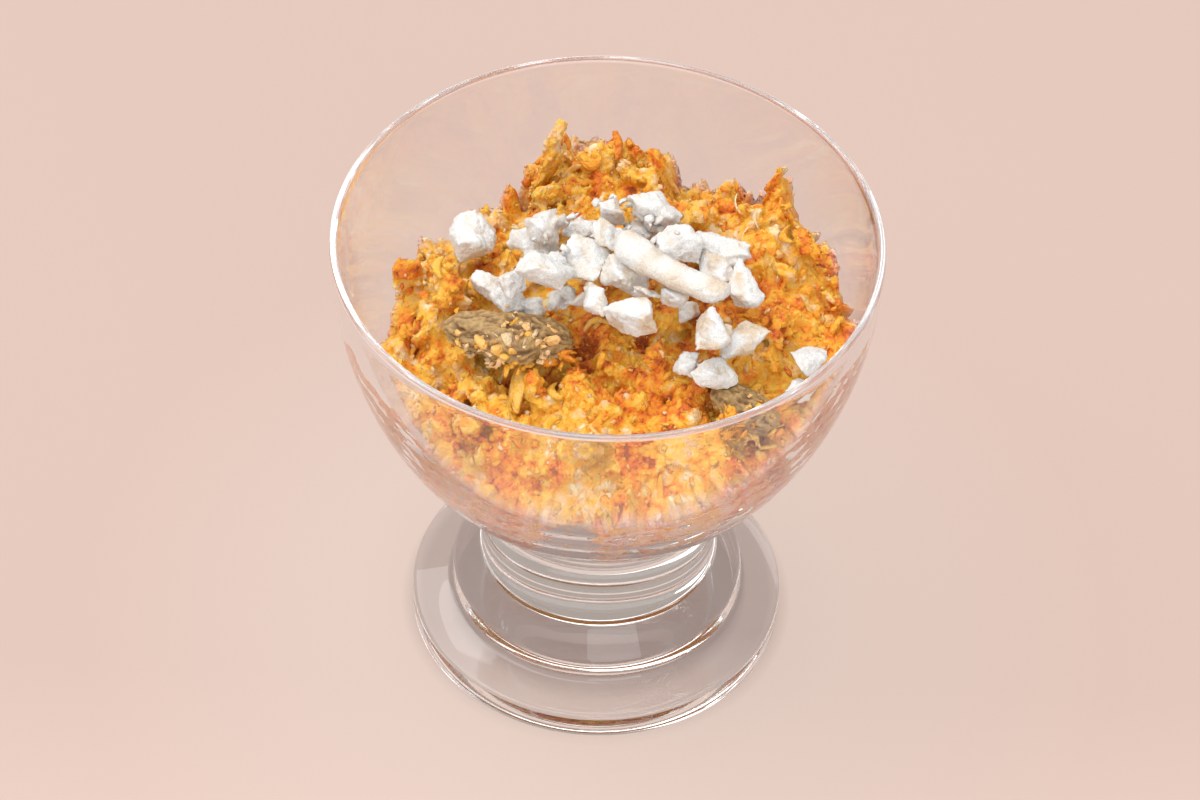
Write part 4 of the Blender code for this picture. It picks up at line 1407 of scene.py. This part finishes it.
def build_half_nut(settings, material):
    """The split cashew on top: a curved half kernel, thicker at its left end, flat below."""
    matrix, half = frame_of("cashew_half")
    if matrix.col[0][0] < 0:
        matrix = matrix @ Matrix.Rotation(math.pi, 4, "Z")
    if matrix.col[2][2] < 0:
        matrix = matrix @ Matrix.Rotation(math.pi, 4, "X")
    bm = bmesh.new()
    bmesh.ops.create_icosphere(bm, subdivisions=5, radius=1.0)
    for vert in bm.verts:
        along, across, up = vert.co
        full = math.sqrt(max(0.0, 1 - abs(along) ** 9)) / math.sqrt(max(1e-6, 1 - along * along))
        thick = full * (0.84 - 0.1 * along + 0.16 * along * along)
        across *= thick
        up = up * thick if up > 0 else max(up * thick, -0.5)
        across += 0.5 * (along * along - 0.4)
        vert.co = Vector((along * half.x, across * half.y * 0.86, (up - 0.05) * half.z))
    bm.transform(matrix)
    mesh = remeshed(bm, settings.nut_voxel)
    points, ways = points_of(mesh), normals_of(mesh)
    rough = 0.38 * noise_at(points, 2.6 * MM, 31.0) + 0.16 * noise_at(points, 0.7 * MM, 33.0)
    points = points + ways * (rough * MM)[:, None]
    points[:, 2] = np.minimum(points[:, 2], HEAP_TOP_MM * MM)
    set_points(mesh, points)
    patches = smooth_share(noise_at(points, 4 * MM, 12.0), -0.3, 0.4)
    set_value(mesh, "skin", 0.15 + 0.6 * patches)
    return shown_piece("split_cashew", mesh, material, ["cashew_half"])


def build_raisin(name, settings, material):
    """A raisin with fine wrinkles that run its length, with painted shade darkening their furrows."""
    matrix, half = frame_of(name)
    if matrix.col[0][0] < 0:
        matrix = matrix @ Matrix.Rotation(math.pi, 4, "Z")
    front = -1.0 if matrix.col[1][1] > 0 else 1.0
    bm = bmesh.new()
    bmesh.ops.create_icosphere(bm, subdivisions=5, radius=1.0)
    for vert in bm.verts:
        along, across, up = vert.co
        full = math.sqrt(max(0.0, 1 - abs(along) ** 3.4)) / math.sqrt(max(1e-6, 1 - along * along))
        uneven = noise.noise(vert.co * 1.6 + Vector((half.x * 900, 0, 0)))
        thick = full * (0.88 + 0.12 * along) * (1 + 0.1 * uneven)
        vert.co = Vector((along * half.x * 0.98, across * half.y * thick, up * half.z * thick))
    lobe = Matrix.Translation((0.08 * half.x, front * 0.62 * half.y, -0.25 * half.z))
    lobe = lobe @ Matrix.Diagonal((0.46 * half.x, 0.72 * half.y, 0.75 * half.z, 1.0))
    bmesh.ops.create_icosphere(bm, subdivisions=4, radius=1.0, matrix=lobe)
    bm.transform(matrix)
    mesh = remeshed(bm, settings.raisin_voxel)
    points, ways = points_of(mesh), normals_of(mesh)
    local = in_frame(matrix, points)
    turn = np.arctan2(local[:, 2] / half.z, local[:, 1] / half.y)
    along = local[:, 0] / MM
    wrinkles = []
    for angle, far in zip(turn, along):
        fold = Vector((math.cos(angle) * 2.0, math.sin(angle) * 2.0, far * 0.24))
        wander = 0.35 * noise.noise(fold * 0.8)
        round_it = Vector((math.cos(angle + wander), math.sin(angle + wander), 0.0))
        fine = round_it * 4.4 + Vector((0.0, 0.0, far * 0.3))
        finest = round_it * 7.5 + Vector((0.0, 0.0, far * 0.5))
        wrinkles.append(
            0.3 * (1 - 2.4 * abs(noise.noise(fold)))
            + 0.4 * (1 - 3.2 * abs(noise.noise(fine)))
            + 0.3 * (1 - 3.2 * abs(noise.noise(finest)))
        )
    ridge = np.array(wrinkles) * 0.6 + 0.28 * (1 + noise_at(points, 0.7 * MM, 7.0)) + 0.1
    set_points(mesh, points + ways * ((ridge - 0.6) * 0.9 * MM)[:, None])
    # Painted shade: the ridge share, low in the furrows, darkens them.
    set_value(mesh, "ridge", smooth_share(ridge, 0.12, 0.9))
    return shown_piece(name.replace("raisin", "wrinkled_raisin"), mesh, material, [name])


def crumbs_on_raisins(pieces, material):
    """Bits of halwa that lie on the raisins: clusters along the front edge, a few on top."""
    rng = random.Random(67)
    shapes = flake_shapes(16, 83)
    bm = bmesh.new()
    for piece in pieces:
        middle = Vector(points_of(piece.data).mean(axis=0))
        for point, way in surface_places(piece.data, 2.0 * MM, 1500, 9, lambda _spot, way: way[2] > -0.4):
            low = float(smooth_share(np.array((middle.y - point.y) / MM), 0.2, 3.0))
            patch = noise.noise(point / (3.5 * MM))
            if patch < 0.14 - 0.75 * low:
                continue
            tint = min(0.95, patch_tint(point, rng) + 0.2 - 0.12 * low)
            for _ in range(rng.randrange(1, 3 + round(3 * low))):
                width = rng.uniform(0.8 + 0.6 * low, 2.0 + 2.4 * low) * MM
                size = (width, width * rng.uniform(0.55, 0.9), width * rng.uniform(0.25, 0.45 + 0.3 * low))
                step = Vector([rng.gauss(0, (0.6 + 0.5 * low) * MM) for _ in range(3)])
                step -= way * step.dot(way)
                add_shape(bm, rng.choice(shapes), placed(point + step, way, size, rng, 1.2), tint)
    return shown_bits("halwa_on_raisins", bm, material, at_wall=False)


# Floor, light and camera


def build_floor(settings):
    bm = bmesh.new()
    bmesh.ops.create_grid(bm, x_segments=8, y_segments=8, size=settings.floor_size / 2)
    bmesh.ops.translate(bm, vec=(0.0, 0.0, -FLOOR_GAP_MM * MM), verts=bm.verts)
    floor = link(bpy.data.objects.new("floor", mesh_from(bm, "floor")))
    floor.data.materials.append(floor_material(settings))


def add_area_light(name, place, width, power, colour):
    data = bpy.data.lights.new(name, "AREA")
    data.shape = "SQUARE"
    data.size = width
    data.energy = power
    data.color = colour
    light = link(bpy.data.objects.new(name, data))
    light.location = place
    light.rotation_euler = (Vector(LIT_POINT) - Vector(place)).to_track_quat("-Z", "Y").to_euler()


def build_sky(strength):
    """Even white light all round, a little dimmer near the ground."""
    world = bpy.data.worlds.new("sky")
    bpy.context.scene.world = world
    world.use_nodes = True
    tree = world.node_tree
    tree.nodes.clear()
    place = new_node(tree, "ShaderNodeTexCoord")
    height = new_node(tree, "ShaderNodeSeparateXYZ", {0: place.outputs["Generated"]}).outputs["Z"]
    colour = ramp_node(
        tree,
        mapped(tree, height, -0.2, 1.0, 0.0, 1.0),
        [
            (0.0, (0.7, 0.67, 0.66)),
            (0.17, (0.9, 0.89, 0.9)),
            (0.45, (1.0, 1.0, 1.0)),
            (1.0, (1.0, 0.99, 0.98)),
        ],
    )
    backwards = new_node(tree, "ShaderNodeSeparateXYZ", {0: place.outputs["Generated"]}).outputs["Y"]
    dim = mapped(tree, backwards, 0.3, 0.65, 0.0, 1.0)
    colour = mixed_colour(tree, dim, colour, (0.66, 0.57, 0.51, 1.0))
    back = new_node(tree, "ShaderNodeBackground", {"Color": colour, "Strength": strength})
    out = tree.nodes.new("ShaderNodeOutputWorld")
    tree.links.new(back.outputs["Background"], out.inputs["Surface"])


def allow_long_light_paths(cycles):
    """Lets light run round inside the thick glass instead of going dark there."""
    cycles.max_bounces = 20
    cycles.diffuse_bounces = 2
    cycles.glossy_bounces = 16
    cycles.transmission_bounces = 16
    cycles.transparent_max_bounces = 16


def build_camera():
    """The camera of the picture: turned by its height angle and roll about the middle of the foot."""
    high, roll = math.radians(CAMERA_HEIGHT_DEG), math.radians(CAMERA_ROLL_DEG)
    back = Vector((0.0, -math.cos(high), math.sin(high)))
    right = Vector((1.0, 0.0, 0.0))
    up = Vector((0.0, math.sin(high), math.cos(high)))
    side = right * math.cos(roll) + up * math.sin(roll)
    top = up * math.cos(roll) - right * math.sin(roll)
    place = (back * CAMERA_DISTANCE_MM + side * CAMERA_OFFSET_MM[0] + top * CAMERA_OFFSET_MM[1]) * MM
    data = bpy.data.cameras.new("camera")
    data.lens = LENS_MM
    data.sensor_width = SENSOR_MM
    data.clip_start = 0.01
    data.clip_end = 50.0
    camera = link(bpy.data.objects.new("camera", data))
    camera.matrix_world = Matrix((
        (side.x, top.x, back.x, place.x),
        (side.y, top.y, back.y, place.y),
        (side.z, top.z, back.z, place.z),
        (0.0, 0.0, 0.0, 1.0),
    ))
    bpy.context.scene.camera = camera


class StageOperator(bpy.types.Operator):
    """Adds the floor, the lights and the camera"""

    bl_idname = "halwa.stage"
    bl_label = "Stage"

    def execute(self, context):
        settings = context.scene.halwa_stage
        build_floor(settings)
        build_sky(settings.sky_strength)
        add_area_light("key", KEY_PLACE, KEY_WIDTH, settings.key_power, KEY_TINT)
        add_area_light("fill", FILL_PLACE, FILL_WIDTH, settings.fill_power, FILL_TINT)
        build_camera()
        allow_long_light_paths(context.scene.cycles)
        view = context.scene.view_settings
        view.view_transform = "Standard"
        view.look = "None"
        return {"FINISHED"}


class GlassOperator(bpy.types.Operator):
    """Turns the footed glass bowl from its profile"""

    bl_idname = "halwa.glass"
    bl_label = "Glass bowl"

    def execute(self, context):
        settings = context.scene.halwa_glass
        shown_piece("glass_bowl", spun_glass(settings), glass_material(settings), ["glass"])
        return {"FINISHED"}


class HeapOperator(bpy.types.Operator):
    """Grows the heap of halwa"""

    bl_idname = "halwa.heap"
    bl_label = "Halwa heap"

    def execute(self, context):
        settings = context.scene.halwa_food
        build_heap(settings, halwa_material(settings, "halwa", 1.1))
        return {"FINISHED"}


class CrumbsOperator(bpy.types.Operator):
    """Spreads loose lumps, grains and milk solids over the heap"""

    bl_idname = "halwa.crumbs"
    bl_label = "Loose crumbs"

    def execute(self, context):
        core = bpy.data.objects["halwa_heap"]
        material = halwa_material(context.scene.halwa_food, "crumbs", 0.35, 0.0)
        coarse = flake_shapes(14, 21)
        fine = flake_shapes(10, 61)
        scattered("halwa_lumps", core, coarse, LUMP_SPACING_MM, 6000, 3, choose_lump, material)
        scattered("halwa_grains", core, fine, GRAIN_SPACING_MM, 9000, 4, choose_grain, material)
        scattered("halwa_milk_solids", core, coarse, MILK_SPACING_MM, 2500, 6, choose_cream, material)
        return {"FINISHED"}


class ShredsOperator(bpy.types.Operator):
    """Lays curved shreds of carrot in the crumbs"""

    bl_idname = "halwa.shreds"
    bl_label = "Carrot shreds"

    def execute(self, _context):
        core = bpy.data.objects["halwa_heap"]
        build_shreds(core, bpy.data.materials["crumbs"])
        build_strays(core, bpy.data.materials["crumbs"])
        return {"FINISHED"}


class CashewsOperator(bpy.types.Operator):
    """Makes the chopped cashews"""

    bl_idname = "halwa.cashews"
    bl_label = "Cashews"

    def execute(self, context):
        settings = context.scene.halwa_toppings
        material = nut_material(settings)
        build_nuts(settings, material)
        build_crumbled_nuts(material)
        build_half_nut(settings, material)
        return {"FINISHED"}


class RaisinsOperator(bpy.types.Operator):
    """Makes the wrinkled raisins"""

    bl_idname = "halwa.raisins"
    bl_label = "Raisins"

    def execute(self, context):
        settings = context.scene.halwa_toppings
        material = raisin_material(settings)
        names = [n for n in topping_nodes() if n.startswith("raisin")]
        raisins = [build_raisin(name, settings, material) for name in names]
        crumbs_on_raisins(raisins, bpy.data.materials["crumbs"])
        return {"FINISHED"}


OPERATORS = (
    StageOperator,
    GlassOperator,
    HeapOperator,
    CrumbsOperator,
    ShredsOperator,
    CashewsOperator,
    RaisinsOperator,
)
SETTINGS = {
    "halwa_stage": StageSettings,
    "halwa_glass": GlassSettings,
    "halwa_food": HalwaSettings,
    "halwa_toppings": ToppingSettings,
}


class HalwaPanel(bpy.types.Panel):
    """Lists the pieces and their settings"""

    bl_idname = "VIEW3D_PT_halwa"
    bl_label = "Gajar halwa"
    bl_space_type = "VIEW_3D"
    bl_region_type = "UI"
    bl_category = "Halwa"

    def draw(self, context):
        for operator in OPERATORS:
            self.layout.operator(operator.bl_idname)
        for key, group in SETTINGS.items():
            box = self.layout.box()
            for field in group.__annotations__:
                box.prop(getattr(context.scene, key), field)


def register():
    for kind in (*SETTINGS.values(), *OPERATORS, HalwaPanel):
        bpy.utils.register_class(kind)
    for key, group in SETTINGS.items():
        setattr(bpy.types.Scene, key, PointerProperty(type=group))


def unregister():
    for key in SETTINGS:
        delattr(bpy.types.Scene, key)
    for kind in reversed((*SETTINGS.values(), *OPERATORS, HalwaPanel)):
        bpy.utils.unregister_class(kind)


def main():
    register()
    bpy.ops.halwa.stage()
    bpy.ops.halwa.glass()
    bpy.ops.halwa.heap()
    bpy.ops.halwa.crumbs()
    bpy.ops.halwa.shreds()
    bpy.ops.halwa.cashews()
    bpy.ops.halwa.raisins()


if __name__ == "__main__":
    main()
